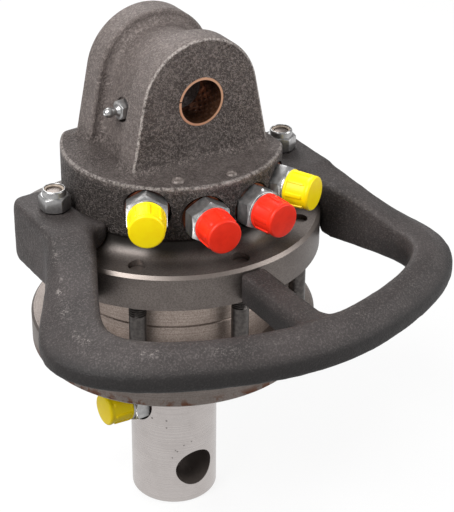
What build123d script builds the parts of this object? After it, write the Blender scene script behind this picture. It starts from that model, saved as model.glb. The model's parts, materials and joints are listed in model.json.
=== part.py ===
"""Hydraulic grapple rotator: a vane motor between a cast head and a cover plate.

The head hangs on a crane's link pin, and the shaft below it turns the grapple.
Millimetres. The origin is the centre of the upper pin bore, +Z is up, the bore
runs along Y, and the hose guard bows out towards -Y.
"""
from build123d import *
from math import acos, atan2, cos, hypot, radians, sin, tan
import os

# Running and assembly clearances, all radial or per face
RUN = 0.05
FIT = 0.05
LOOSE = 0.3

# Upper lug and its pin bore
PIN_RADIUS = 15.0
BUSH_WALL = 2.0
BUSH_LENGTH = 27.0
LUG_WIDTH = 80.0
LUG_RADIUS = 44.0
LUG_SPREAD = 9.5
GROOVE_WIDTH = 40.0
GROOVE_DEPTH = 9.5
GROOVE_FILLET = 6.5
RIM_EDGE = 2.5
LUG_FILLET = 6.0
LUG_SUNK = 10.0
BUSH_SEAM = 0.8
BUSH_SEAM_RISE = 3.0

# Stack of the body, from the pin bore's centre downwards
DRUM_TOP = -42.5
DRUM_DEPTH = 50.7
DRUM_SHOULDER = 23.0
DRUM_FLAT = 62.5
DRUM_FLAT_CORNER = 12.0
DRUM_SLOPE_GAP = 1.0
DRUM_SLOPE = 26.0
DRUM_BROW = 20.0
DRUM_EDGE = 2.5
FLANGE_LEDGE = 27.5
FLANGE_SLOPE_START = 60.0
FLANGE_SLOPE = 21.0
FLANGE_THICKNESS = 25.0
FLANGE_CHAMFER = 2.2
FLANGE_FILLET = 13.0
RING_INSET = 27.6
CAM_RING_HEIGHT = 29.6
BEARING_RING_HEIGHT = 25.4
RING_CHAMFER = 0.8
PLATE_INSET = 2.0
PLATE_THICKNESS = 23.3
PLATE_CHAMFER = 1.6

LUG_FOOT = LUG_RADIUS + LUG_SPREAD
DRUM_RADIUS = LUG_FOOT + DRUM_SHOULDER
FLANGE_RADIUS = DRUM_RADIUS + FLANGE_LEDGE
RING_RADIUS = FLANGE_RADIUS - RING_INSET
PLATE_RADIUS = FLANGE_RADIUS - PLATE_INSET
FLANGE_TOP = DRUM_TOP - DRUM_DEPTH
FLANGE_BOTTOM = FLANGE_TOP - FLANGE_THICKNESS
CAM_BOTTOM = FLANGE_BOTTOM - CAM_RING_HEIGHT
PLATE_TOP = CAM_BOTTOM - BEARING_RING_HEIGHT
PLATE_BOTTOM = PLATE_TOP - PLATE_THICKNESS

# Bolts through plate and flange: eight places, two of them carry the guard
BOLT_RADIUS = 6.0
BOLT_INSET = 13.5
BOLT_CIRCLE = FLANGE_RADIUS - BOLT_INSET
BOLT_PLACES = 8
BOLT_HEAD_RADIUS = 9.0
BOLT_HEAD_HEIGHT = 12.0
BOLT_HEAD_SUNK = 0.8
BOLT_SOCKET_FLATS = 10.0
BOLT_SOCKET_DEPTH = 6.0
BOLT_TIP_RECESS = 3.0
NUT_FLATS = 19.0
NUT_HEX_HEIGHT = 10.5
NUT_COLLAR_RADIUS = 8.2
NUT_COLLAR_HEIGHT = 4.5
NUT_COLLAR_BEVEL = 1.2
BOLT_POINT = 0.8

# Rotor shaft and the swivel that it forms in the head
SHAFT_RADIUS = 32.0
SHAFT_DROP = 135.1
SHAFT_END_EDGE = 2.5
LOWER_PIN_HEIGHT = 30.1
SWIVEL_RADIUS = 30.0
SWIVEL_TOP = -49.0
SWIVEL_GAP = 1.0
GALLERY_HEIGHTS = (-64.0, -86.0)
GALLERY_WIDTH = 7.0
GALLERY_DEPTH = 3.5
SWIVEL_SEAL_HEIGHTS = (-54.0, -75.0, -97.0)
SWIVEL_SEAL_WIDTH = 4.0
SWIVEL_SEAL_DEPTH = 4.0
AXIAL_OILWAY_RADIUS = 4.5
AXIAL_OILWAY_OFFSET = 15.0
CROSS_OILWAY_RADIUS = 3.5
OILWAY_PLUG_LENGTH = 7.0

# Vane motor
ROTOR_RADIUS = 48.2
COLLAR_RADIUS = 46.0
ROTOR_SIDE_GAP = 0.1
CAM_LONG_RADIUS = 56.5
CAM_SHORT_RADIUS = 48.6
VANE_COUNT = 8
VANE_THICKNESS = 5.0
VANE_DEPTH = 12.0
VANE_SLOT_FLOOR = 33.0
SPRING_THICKNESS = 0.6
SPRING_WIDTH = 3.6
SPRING_LENGTH = 24.0
KIDNEY_ANGLE = 24.0
KIDNEY_CIRCLE = 51.5
KIDNEY_RADIUS = 3.2
KIDNEY_SWEEP = 22.0
KIDNEY_DEPTH = 5.0
DOWEL_RADIUS = 3.0
DOWEL_INSET = 6.9
DOWEL_CIRCLE = RING_RADIUS - DOWEL_INSET
DOWEL_COUNT = 2
DOWEL_DEPTH = 8.0
JOINT_SEAL_INSET = 13.9
JOINT_SEAL_RADIUS = RING_RADIUS - JOINT_SEAL_INSET
JOINT_SEAL_SIZE = 2.6

# Thrust bearing, journal bush and seals below the rotor
BEARING_HEIGHT = 18.0
BEARING_RADIUS = 47.5
RACE_THICKNESS = 5.0
ROLLER_COUNT = 16
ROLLER_LENGTH = 10.0
CAGE_THICKNESS = 3.6
CAGE_EDGE = 1.0
POCKET_GAP = 0.25
JOURNAL_BUSH_WALL = 3.5
JOURNAL_BUSH_LENGTH = 13.0
SHAFT_SEAL_RADIUS = 39.0
SHAFT_SEAL_HEIGHT = 6.0
WIPER_HEIGHT = 2.4
WIPER_LIP = 1.2

# Ports: name, angle round the drum from the front, height, heading, seat depth
HEAD_PORTS = (
    ("outer_left", -42.3, -60.0, -30.0, 5.5),
    ("inner_left", -13.6, -65.5, -5.5, 4.0),
    ("inner_right", 15.1, -66.5, 9.0, 4.0),
    ("outer_right", 39.5, -65.0, 29.0, 5.5),
)
SHAFT_PORT_HEIGHT = -247.5
SHAFT_PORT_SEAT = 7.0
SPOT_FACE_RADIUS = 16.0
PORT_RADIUS = 9.5
PORT_DEPTH = 15.0
OILWAY_RADIUS = 3.5

# Port fitting and its transport cap
FITTING_FLATS = 27.0
FITTING_HEX_HEIGHT = 12.0
FITTING_COLLAR_RADIUS = 12.9
FITTING_COLLAR_HEIGHT = 1.6
FITTING_NOSE_RADIUS = 10.0
FITTING_NOSE_LENGTH = 14.0
FITTING_BORE_RADIUS = 5.0
FITTING_STUD_LENGTH = 13.0
SEAL_RADIUS = 14.6
SEAL_THICKNESS = 2.0
CAP_BASE_RADIUS = 12.9
CAP_END_RADIUS = 12.1
CAP_LENGTH = 18.6
CAP_EDGE = 1.2
CAP_WALL_END = 3.0
CAP_PANELS = 8
CAP_PANEL_WIDTH = 5.4
CAP_PANEL_DEPTH = 0.8
CAP_PANEL_LENGTH = 12.0

# Grease nipple in the groove of the lug
NIPPLE_HEIGHT = -12.3
NIPPLE_SPOT_RADIUS = 8.4
NIPPLE_STAND = 0.5
NIPPLE_HEX_FLATS = 13.0
NIPPLE_HEX_HEIGHT = 6.0
NIPPLE_THREAD_RADIUS = 5.0
NIPPLE_THREAD_LENGTH = 8.0
NIPPLE_STUD_LENGTH = 7.0
NIPPLE_HEAD_RADIUS = 3.7
NIPPLE_NECK_RADIUS = 2.5
NIPPLE_NECK_START = 2.2
NIPPLE_NECK_LENGTH = 1.6
NIPPLE_HEAD_BEVEL = 1.2
NIPPLE_TIP_RADIUS = 1.6
NIPPLE_REACH = 17.0
GREASE_WAY_RADIUS = 2.0

# Hose guard: pads on the flange, flared arms, and a bow across the front
PAD_TOP = -72.0
PAD_OUTSIDE = 20.5
PAD_INSIDE = 37.0
PAD_BACK = 31.0
PAD_FRONT = -36.0
PAD_CORNER = 10.0
GUARD_BOTTOM = FLANGE_BOTTOM
GUARD_RIM_GAP = 0.4
STRUT_HALF_WIDTH = 9.5
STRUT_TOP = -95.0
STRUT_ROOT_HALF_WIDTH = 21.0
STRUT_FLARE = 13.0
STRUT_ROOT_DEPTH = 6.0
STRUT_BEND_OUT = 3.4
STRUT_BEND_IN = 4.0
# Sections of one arm: inner corner x and y as shares of the flange's radius,
# heading outwards, width, height of the inner edge, place and height of the ridge
GUARD_SECTIONS = (
    (0.7212, -0.1154, 0.0, 36.0, -72.3, 33.0, -72.9),
    (0.8077, -0.4423, 18.0, 34.0, -73.0, 30.0, -75.0),
    (0.9135, -0.6538, 27.0, 34.0, -76.5, 26.0, -80.0),
    (1.0192, -0.8654, 25.0, 37.0, -81.5, 24.0, -88.5),
    (1.1058, -1.0769, 8.0, 40.0, -89.0, 22.0, -94.5),
    (1.1154, -1.2212, -18.0, 33.0, -91.0, 18.0, -95.5),
    (1.0288, -1.3654, -48.0, 26.5, -91.0, 15.0, -95.0),
    (0.8269, -1.5048, -64.0, 24.0, -91.0, 14.0, -94.5),
    (0.5288, -1.6250, -74.0, 23.5, -91.0, 14.0, -94.5),
    (0.2404, -1.6971, -83.0, 23.5, -91.0, 14.0, -94.5),
    (0.0000, -1.7163, -90.0, 23.5, -91.0, 14.0, -94.5),
)
# The right arm stands further in than the left one, from one place on y to another
GUARD_PULL = 0.05
GUARD_PULL_START = -0.45
GUARD_PULL_FULL = -1.0
GUARD_CORNER = 4.0
GUARD_BELLY_DROP = 11.0

PIECES = []


def keep(piece, name):
    """Label a finished piece and remember it for writing."""
    piece.part.label = name
    PIECES.append((name, piece.part))


def toward(angle):
    """Unit vector in plan, measured round from the front towards +X."""
    return Vector(sin(radians(angle)), -cos(radians(angle)), 0)


def port_seat(port):
    """Plane of a head port's spot face, with Z pointing out of the port."""
    name, angle, height, heading, depth = port
    surface = toward(angle) * DRUM_RADIUS + Vector(0, 0, height)
    return Plane(origin=surface - toward(heading) * depth, x_dir=(0, 0, 1), z_dir=toward(heading))


def shaft_seat(side):
    """Plane of a shaft port's spot face, on -X or +X."""
    origin = (side * (SHAFT_RADIUS - SHAFT_PORT_SEAT), 0, SHAFT_PORT_HEIGHT)
    return Plane(origin=origin, x_dir=(0, 0, 1), z_dir=(side, 0, 0))


def bolt_spots(carries_guard):
    """Bolt centres in plan: the two on X hold the guard, the rest the body."""
    spots = []
    for place in range(BOLT_PLACES):
        turn = 360.0 / BOLT_PLACES * place
        on_guard = place % (BOLT_PLACES // 2) == 0
        if on_guard == carries_guard:
            spots.append((BOLT_CIRCLE * cos(radians(turn)), BOLT_CIRCLE * sin(radians(turn))))
    return spots


def lug_outline(inset):
    """Side view of the lug: a round top whose tangents run out to the foot."""
    radius = LUG_RADIUS - inset
    foot = LUG_FOOT - inset
    reach = hypot(foot, DRUM_TOP)
    turn = atan2(DRUM_TOP, foot) + acos(radius / reach)
    touch = (radius * cos(turn), radius * sin(turn))
    sunk = foot + LUG_SUNK * tan(turn)
    bottom = DRUM_TOP - LUG_SUNK
    with BuildLine() as outline:
        ThreePointArc(touch, (0, radius), (-touch[0], touch[1]))
        Polyline((-touch[0], touch[1]), (-sunk, bottom), (sunk, bottom), touch)
    return make_face(outline.line, mode=Mode.PRIVATE)


def rear_slope(top, start, angle):
    """Wedge that takes the rear of a level top down towards +Y."""
    far = 2 * FLANGE_RADIUS
    with BuildPart(mode=Mode.PRIVATE) as wedge:
        with BuildSketch(Plane.YZ):
            with BuildLine():
                Polyline((start, top), (far, top - (far - start) * tan(radians(angle))),
                         (far, 0), (start, 0), close=True)
            make_face()
        extrude(amount=far, both=True)
    return wedge.part


def drum_body():
    """The drum: round in front, flat on +X, and lower towards the rear."""
    with BuildPart(mode=Mode.PRIVATE) as drum:
        with BuildSketch(level(FLANGE_TOP - FLANGE_THICKNESS / 2)) as plan:
            Circle(DRUM_RADIUS)
            with Locations((DRUM_FLAT, 0)):
                Rectangle(DRUM_RADIUS, 2 * DRUM_RADIUS, align=(Align.MIN, Align.CENTER),
                          mode=Mode.SUBTRACT)
            fillet(plan.vertices(), DRUM_FLAT_CORNER)
        extrude(amount=DRUM_DEPTH + FLANGE_THICKNESS / 2)
        add(rear_slope(DRUM_TOP, LUG_WIDTH / 2 + LUG_FILLET + DRUM_SLOPE_GAP, DRUM_SLOPE),
            mode=Mode.SUBTRACT)
        brow = drum.faces().sort_by(Axis.Z)[-1].edges().filter_by(GeomType.LINE).sort_by(Axis.Y)
        fillet(brow[-1:], DRUM_BROW)
        rim = drum.edges().filter_by(lambda e: (e @ 0.5).Z > FLANGE_TOP + 1)
        rim = rim.filter_by(lambda e: abs((e @ 0).Z - (e @ 1).Z) < 0.6 * e.length
                            and hypot((e @ 0).X, (e @ 0).Y) > DRUM_FLAT - 1
                            and hypot((e @ 1).X, (e @ 1).Y) > DRUM_FLAT - 1
                            and hypot((e @ 0.5).X, (e @ 0.5).Y) > DRUM_FLAT - 1)
        fillet(rim, DRUM_EDGE)
    return drum.part


def turn_solid(seat, outline, mode=Mode.ADD):
    """Turn (radius, height) points about a seat's own Z axis."""
    side = Plane(origin=seat.origin, x_dir=seat.x_dir, z_dir=seat.x_dir.cross(seat.z_dir))
    with BuildSketch(side) as profile:
        with BuildLine():
            Polyline(*outline, close=True)
        make_face()
    revolve(profile.sketch, axis=Axis(seat.origin, seat.z_dir), mode=mode)


def turn_ring(bottom, top, inner, outer, mode=Mode.ADD):
    """Plain ring or disc about the rotor's axis."""
    turn_solid(Plane.XY, [(inner, bottom), (outer, bottom), (outer, top), (inner, top)], mode)


def drill(start, end, radius):
    """Drill a straight round hole between two points."""
    along = end - start
    with BuildSketch(Plane(origin=start, z_dir=along)) as mouth:
        Circle(radius)
    extrude(mouth.sketch, amount=along.length, mode=Mode.SUBTRACT)


def level(height):
    """Plane across the rotor's axis."""
    return Plane.XY.offset(height)


# Places that several pieces share
BUSH_RADIUS = PIN_RADIUS + BUSH_WALL
GROOVE_FLOOR = LUG_RADIUS - GROOVE_DEPTH
NIPPLE_FACE = -(GROOVE_FLOOR + NIPPLE_STAND)
NUT_HEIGHT = NUT_HEX_HEIGHT + NUT_COLLAR_HEIGHT
BOLT_SEAT = PLATE_BOTTOM + BOLT_HEAD_SUNK + BOLT_HEAD_HEIGHT
JOINT_SEAL_INNER = JOINT_SEAL_RADIUS - JOINT_SEAL_SIZE / 2
JOINT_SEAL_OUTER = JOINT_SEAL_RADIUS + JOINT_SEAL_SIZE / 2
JOURNAL_BUSH_BOTTOM = PLATE_TOP - JOURNAL_BUSH_LENGTH
JOURNAL_BUSH_RADIUS = SHAFT_RADIUS + JOURNAL_BUSH_WALL
SEAL_POCKET_TOP = PLATE_BOTTOM + WIPER_HEIGHT + SHAFT_SEAL_HEIGHT
COLLAR_BOTTOM = PLATE_TOP + BEARING_HEIGHT
SHAFT_BOTTOM = PLATE_BOTTOM - SHAFT_DROP
LOWER_PIN = SHAFT_BOTTOM + LOWER_PIN_HEIGHT
SHAFT_TOP = SWIVEL_TOP - SWIVEL_GAP
VANE_INNER = ROTOR_RADIUS - VANE_DEPTH
VANE_TIP_SUNK = 0.1
CAP_SEAT = SEAL_THICKNESS + FITTING_HEX_HEIGHT + FITTING_COLLAR_HEIGHT
HEAD_SEATS = {port[0]: port_seat(port) for port in HEAD_PORTS}
SHAFT_SEATS = {"shaft_left": shaft_seat(-1), "shaft_right": shaft_seat(1)}
VANE_TURNS = [360.0 / VANE_COUNT * (place + 0.5) for place in range(VANE_COUNT)]


# Head casting: lug, drum and flange in one
with BuildPart() as head:
    with BuildSketch(Plane.XZ):
        add(lug_outline(0))
    extrude(amount=LUG_WIDTH / 2, both=True)
    with BuildSketch(Plane.XZ):
        with Locations((0, DRUM_TOP)):
            Rectangle(4 * LUG_RADIUS, 2 * LUG_RADIUS - DRUM_TOP, align=(Align.CENTER, Align.MIN))
        add(lug_outline(GROOVE_DEPTH), mode=Mode.SUBTRACT)
    extrude(amount=GROOVE_WIDTH / 2, both=True, mode=Mode.SUBTRACT)
    corners = head.edges().filter_by(lambda e: abs(abs((e @ 0.5).Y) - GROOVE_WIDTH / 2) < 0.01)
    corners = corners.filter_by(lambda e: (e @ 0.5).Z > DRUM_TOP + 1)
    corners = corners.filter_by(lambda e: hypot((e @ 0.5).X, (e @ 0.5).Z) < LUG_RADIUS - 1)
    fillet(corners, GROOVE_FILLET)
    rims = head.edges().filter_by(lambda e: abs((e @ 0).Y - (e @ 1).Y) < 0.01)
    rims = rims.filter_by(lambda e: abs(min(hypot((e @ 0).X, (e @ 0).Z),
                                            hypot((e @ 1).X, (e @ 1).Z)) - LUG_RADIUS) < 0.01)
    fillet(rims, RIM_EDGE)
    with BuildSketch(Plane.XZ):
        with BuildLine():
            Line((0, FLANGE_TOP + FLANGE_FILLET), (DRUM_RADIUS, FLANGE_TOP + FLANGE_FILLET))
            RadiusArc((DRUM_RADIUS, FLANGE_TOP + FLANGE_FILLET),
                      (DRUM_RADIUS + FLANGE_FILLET, FLANGE_TOP), -FLANGE_FILLET)
            Polyline((DRUM_RADIUS + FLANGE_FILLET, FLANGE_TOP),
                     (FLANGE_RADIUS - FLANGE_CHAMFER, FLANGE_TOP),
                     (FLANGE_RADIUS, FLANGE_TOP - FLANGE_CHAMFER),
                     (FLANGE_RADIUS, FLANGE_BOTTOM), (0, FLANGE_BOTTOM),
                     (0, FLANGE_TOP + FLANGE_FILLET))
        make_face()
    revolve(axis=Axis.Z)
    add(rear_slope(FLANGE_TOP, FLANGE_SLOPE_START, FLANGE_SLOPE), mode=Mode.SUBTRACT)
    add(drum_body())
    foot = head.edges().filter_by_position(Axis.Z, DRUM_TOP - 0.01, DRUM_TOP + 0.01)
    foot = foot.filter_by(lambda e: abs((e @ 0.5).Y) < LUG_WIDTH / 2 + 1
                          and abs((e @ 0.5).X) < LUG_FOOT + 1)
    fillet(foot, LUG_FILLET)
    with BuildSketch(Plane.XZ):
        Circle(BUSH_RADIUS + FIT)
    extrude(amount=LUG_WIDTH / 2, both=True, mode=Mode.SUBTRACT)
    turn_ring(FLANGE_BOTTOM, SWIVEL_TOP, 0, SWIVEL_RADIUS + RUN, Mode.SUBTRACT)
    for height in GALLERY_HEIGHTS:
        turn_ring(height - GALLERY_WIDTH / 2, height + GALLERY_WIDTH / 2,
                  SWIVEL_RADIUS, SWIVEL_RADIUS + GALLERY_DEPTH, Mode.SUBTRACT)
    for height in SWIVEL_SEAL_HEIGHTS:
        turn_ring(height - SWIVEL_SEAL_WIDTH / 2, height + SWIVEL_SEAL_WIDTH / 2,
                  SWIVEL_RADIUS, SWIVEL_RADIUS + SWIVEL_SEAL_DEPTH, Mode.SUBTRACT)
    for seat in HEAD_SEATS.values():
        turn_solid(seat, [(0, -PORT_DEPTH), (PORT_RADIUS, -PORT_DEPTH), (PORT_RADIUS, 0),
                          (SPOT_FACE_RADIUS, 0), (SPOT_FACE_RADIUS, SPOT_FACE_RADIUS),
                          (0, SPOT_FACE_RADIUS)], Mode.SUBTRACT)
    for name, height in zip(("outer_left", "outer_right"), GALLERY_HEIGHTS):
        seat = HEAD_SEATS[name]
        inside = seat.origin - seat.z_dir * (PORT_DEPTH - OILWAY_RADIUS)
        wall = Vector(inside.X, inside.Y, 0).normalized() * (SWIVEL_RADIUS + GALLERY_DEPTH / 2)
        drill(inside, wall + Vector(0, 0, height), OILWAY_RADIUS)
    for name, side in (("inner_left", -1), ("inner_right", 1)):
        seat = HEAD_SEATS[name]
        inside = seat.origin - seat.z_dir * (PORT_DEPTH - OILWAY_RADIUS)
        kidney = toward(side * KIDNEY_ANGLE) * KIDNEY_CIRCLE
        drill(inside, kidney + Vector(0, 0, FLANGE_BOTTOM + KIDNEY_RADIUS), KIDNEY_RADIUS)
    with BuildSketch(level(FLANGE_BOTTOM)):
        for middle in (KIDNEY_ANGLE - 90, -KIDNEY_ANGLE - 90, KIDNEY_ANGLE + 90, 90 - KIDNEY_ANGLE):
            SlotArc(CenterArc((0, 0), KIDNEY_CIRCLE, middle - KIDNEY_SWEEP / 2, KIDNEY_SWEEP),
                    2 * KIDNEY_RADIUS)
    extrude(amount=KIDNEY_DEPTH, mode=Mode.SUBTRACT)
    with BuildSketch(level(FLANGE_BOTTOM)):
        with PolarLocations(DOWEL_CIRCLE, DOWEL_COUNT):
            Circle(DOWEL_RADIUS + FIT)
    extrude(amount=DOWEL_DEPTH, mode=Mode.SUBTRACT)
    with BuildSketch(level(FLANGE_BOTTOM)):
        with Locations(*bolt_spots(False)):
            Circle(BOLT_RADIUS + FIT)
        with Locations(*bolt_spots(True)):
            Circle(BOLT_RADIUS + LOOSE)
    extrude(amount=FLANGE_THICKNESS + FLANGE_FILLET, mode=Mode.SUBTRACT)
    nipple_mouth = Vector(NIPPLE_FACE, 0, NIPPLE_HEIGHT)
    drill(nipple_mouth, nipple_mouth - Vector(NIPPLE_REACH, 0, 0), NIPPLE_SPOT_RADIUS)
    drill(nipple_mouth, nipple_mouth + Vector(NIPPLE_THREAD_LENGTH, 0, 0),
          NIPPLE_THREAD_RADIUS + FIT)
    drill(nipple_mouth, Vector(0, 0, NIPPLE_HEIGHT), GREASE_WAY_RADIUS)
keep(head, "head_casting")


# Split bronze bushes, one in each end of the lug's bore
for name, side in (("bush_front", -1), ("bush_rear", 1)):
    with BuildPart() as bush:
        with BuildSketch(Plane.XZ.offset(-side * LUG_WIDTH / 2)):
            Circle(BUSH_RADIUS)
            Circle(PIN_RADIUS, mode=Mode.SUBTRACT)
            with Locations((-(PIN_RADIUS + BUSH_WALL / 2), BUSH_SEAM_RISE)):
                Rectangle(3 * BUSH_WALL, BUSH_SEAM, mode=Mode.SUBTRACT)
        extrude(amount=side * BUSH_LENGTH)
    keep(bush, name)


# Grease nipple, standing out of the groove towards -X
nipple_seat = Plane(origin=(NIPPLE_FACE, 0, NIPPLE_HEIGHT), x_dir=(0, 0, 1), z_dir=(-1, 0, 0))
with BuildPart() as nipple:
    with BuildSketch(nipple_seat):
        RegularPolygon(NIPPLE_HEX_FLATS / 2, 6, major_radius=False)
    extrude(amount=NIPPLE_HEX_HEIGHT)
    neck = NIPPLE_HEX_HEIGHT + NIPPLE_NECK_START
    head_start = neck + NIPPLE_NECK_LENGTH + NIPPLE_HEAD_BEVEL
    turn_solid(nipple_seat, [
        (0, -NIPPLE_STUD_LENGTH), (NIPPLE_THREAD_RADIUS, -NIPPLE_STUD_LENGTH),
        (NIPPLE_THREAD_RADIUS, 0), (NIPPLE_HEAD_RADIUS, NIPPLE_HEX_HEIGHT),
        (NIPPLE_NECK_RADIUS, neck), (NIPPLE_NECK_RADIUS, neck + NIPPLE_NECK_LENGTH),
        (NIPPLE_HEAD_RADIUS, head_start), (NIPPLE_HEAD_RADIUS, NIPPLE_REACH - NIPPLE_HEAD_RADIUS / 2),
        (NIPPLE_TIP_RADIUS, NIPPLE_REACH), (0, NIPPLE_REACH)])
keep(nipple, "grease_nipple")


# Cam ring: the oval track of the vane motor
with BuildPart() as cam_ring:
    turn_solid(Plane.XY, [
        (0, CAM_BOTTOM), (RING_RADIUS - RING_CHAMFER, CAM_BOTTOM),
        (RING_RADIUS, CAM_BOTTOM + RING_CHAMFER), (RING_RADIUS, FLANGE_BOTTOM),
        (0, FLANGE_BOTTOM)])
    with BuildSketch(level(CAM_BOTTOM)):
        Ellipse(CAM_SHORT_RADIUS, CAM_LONG_RADIUS)
        with PolarLocations(DOWEL_CIRCLE, DOWEL_COUNT):
            Circle(DOWEL_RADIUS + FIT)
    extrude(amount=CAM_RING_HEIGHT, mode=Mode.SUBTRACT)
    for bottom in (CAM_BOTTOM, FLANGE_BOTTOM - JOINT_SEAL_SIZE):
        turn_ring(bottom, bottom + JOINT_SEAL_SIZE,
                  JOINT_SEAL_INNER - FIT, JOINT_SEAL_OUTER + FIT, Mode.SUBTRACT)
keep(cam_ring, "cam_ring")


# Bearing ring between the cam ring and the lower plate
with BuildPart() as bearing_ring:
    turn_solid(Plane.XY, [
        (BEARING_RADIUS + FIT, PLATE_TOP), (RING_RADIUS, PLATE_TOP),
        (RING_RADIUS, CAM_BOTTOM - RING_CHAMFER), (RING_RADIUS - RING_CHAMFER, CAM_BOTTOM),
        (BEARING_RADIUS + FIT, CAM_BOTTOM)])
    with BuildSketch(level(PLATE_TOP)):
        with PolarLocations(DOWEL_CIRCLE, DOWEL_COUNT):
            Circle(DOWEL_RADIUS + FIT)
    extrude(amount=BEARING_RING_HEIGHT, mode=Mode.SUBTRACT)
    turn_ring(PLATE_TOP, PLATE_TOP + JOINT_SEAL_SIZE,
              JOINT_SEAL_INNER - FIT, JOINT_SEAL_OUTER + FIT, Mode.SUBTRACT)
keep(bearing_ring, "bearing_ring")


# Lower plate: closes the body and carries the bolts, journal bush and seals
with BuildPart() as lower_plate:
    turn_solid(Plane.XY, [
        (SHAFT_RADIUS + LOOSE, PLATE_BOTTOM), (PLATE_RADIUS - PLATE_CHAMFER, PLATE_BOTTOM),
        (PLATE_RADIUS, PLATE_BOTTOM + PLATE_CHAMFER), (PLATE_RADIUS, PLATE_TOP - PLATE_CHAMFER),
        (PLATE_RADIUS - PLATE_CHAMFER, PLATE_TOP), (SHAFT_RADIUS + LOOSE, PLATE_TOP)])
    turn_ring(JOURNAL_BUSH_BOTTOM, PLATE_TOP, 0, JOURNAL_BUSH_RADIUS + FIT, Mode.SUBTRACT)
    turn_ring(PLATE_BOTTOM, SEAL_POCKET_TOP, 0, SHAFT_SEAL_RADIUS + FIT, Mode.SUBTRACT)
    with BuildSketch(level(PLATE_BOTTOM)):
        with PolarLocations(BOLT_CIRCLE, BOLT_PLACES):
            Circle(BOLT_RADIUS + LOOSE)
    extrude(amount=PLATE_THICKNESS, mode=Mode.SUBTRACT)
    with BuildSketch(level(PLATE_BOTTOM)):
        with PolarLocations(BOLT_CIRCLE, BOLT_PLACES):
            Circle(BOLT_HEAD_RADIUS + LOOSE)
    extrude(amount=BOLT_SEAT - PLATE_BOTTOM, mode=Mode.SUBTRACT)
    with BuildSketch(level(PLATE_TOP - DOWEL_DEPTH)):
        with PolarLocations(DOWEL_CIRCLE, DOWEL_COUNT):
            Circle(DOWEL_RADIUS + FIT)
    extrude(amount=DOWEL_DEPTH, mode=Mode.SUBTRACT)
keep(lower_plate, "lower_plate")


# Socket head bolts: six in the body and two longer ones through the guard
for name, on_guard, tip in (("body_bolts", False, FLANGE_TOP - BOLT_TIP_RECESS),
                            ("guard_bolts", True, PAD_TOP + NUT_HEIGHT)):
    with BuildPart() as bolts:
        with BuildSketch(level(BOLT_SEAT - BOLT_HEAD_HEIGHT)):
            with Locations(*bolt_spots(on_guard)):
                Circle(BOLT_HEAD_RADIUS)
        extrude(amount=BOLT_HEAD_HEIGHT)
        with BuildSketch(level(BOLT_SEAT)):
            with Locations(*bolt_spots(on_guard)):
                Circle(BOLT_RADIUS)
        extrude(amount=tip - BOLT_SEAT)
        points = bolts.faces().filter_by_position(Axis.Z, tip - 0.01, tip + 0.01)
        chamfer(points.edges(), BOLT_POINT)
        with BuildSketch(level(BOLT_SEAT - BOLT_HEAD_HEIGHT)):
            with Locations(*bolt_spots(on_guard)):
                RegularPolygon(BOLT_SOCKET_FLATS / 2, 6, major_radius=False)
        extrude(amount=BOLT_SOCKET_DEPTH, mode=Mode.SUBTRACT)
    keep(bolts, name)


# Lock nuts that hold the guard down
with BuildPart() as nuts:
    with BuildSketch(level(PAD_TOP)):
        with Locations(*bolt_spots(True)):
            RegularPolygon(NUT_FLATS / 2, 6, major_radius=False, rotation=30)
    extrude(amount=NUT_HEX_HEIGHT)
    for x, y in bolt_spots(True):
        turn_solid(Plane(origin=(x, y, PAD_TOP)), [
            (0, 0), (NUT_COLLAR_RADIUS, 0), (NUT_COLLAR_RADIUS, NUT_HEIGHT - NUT_COLLAR_BEVEL),
            (NUT_COLLAR_RADIUS - NUT_COLLAR_BEVEL, NUT_HEIGHT), (0, NUT_HEIGHT)])
    with BuildSketch(level(PAD_TOP)):
        with Locations(*bolt_spots(True)):
            Circle(BOLT_RADIUS + FIT)
    extrude(amount=NUT_HEIGHT, mode=Mode.SUBTRACT)
keep(nuts, "guard_nuts")


def guard_section(section, pull):
    """Cross-section of the guard's arm, standing across the arm's path."""
    x, y, heading, width, inner_top, ridge, ridge_top = section
    share = (GUARD_PULL_START - y) / (GUARD_PULL_START - GUARD_PULL_FULL)
    x *= 1 - pull * max(0.0, min(1.0, share))
    out = Vector(cos(radians(heading)), sin(radians(heading)), 0)
    across = Plane(origin=(x * FLANGE_RADIUS, y * FLANGE_RADIUS, 0),
                   x_dir=out, z_dir=out.cross(Vector(0, 0, 1)))
    with BuildSketch(across) as cut:
        with BuildLine():
            FilletPolyline((0, GUARD_BOTTOM), (0, inner_top), (ridge, ridge_top),
                           (width, ridge_top - GUARD_BELLY_DROP), (width, GUARD_BOTTOM),
                           radius=GUARD_CORNER, close=True)
        make_face()
    return cut.sketch


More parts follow.
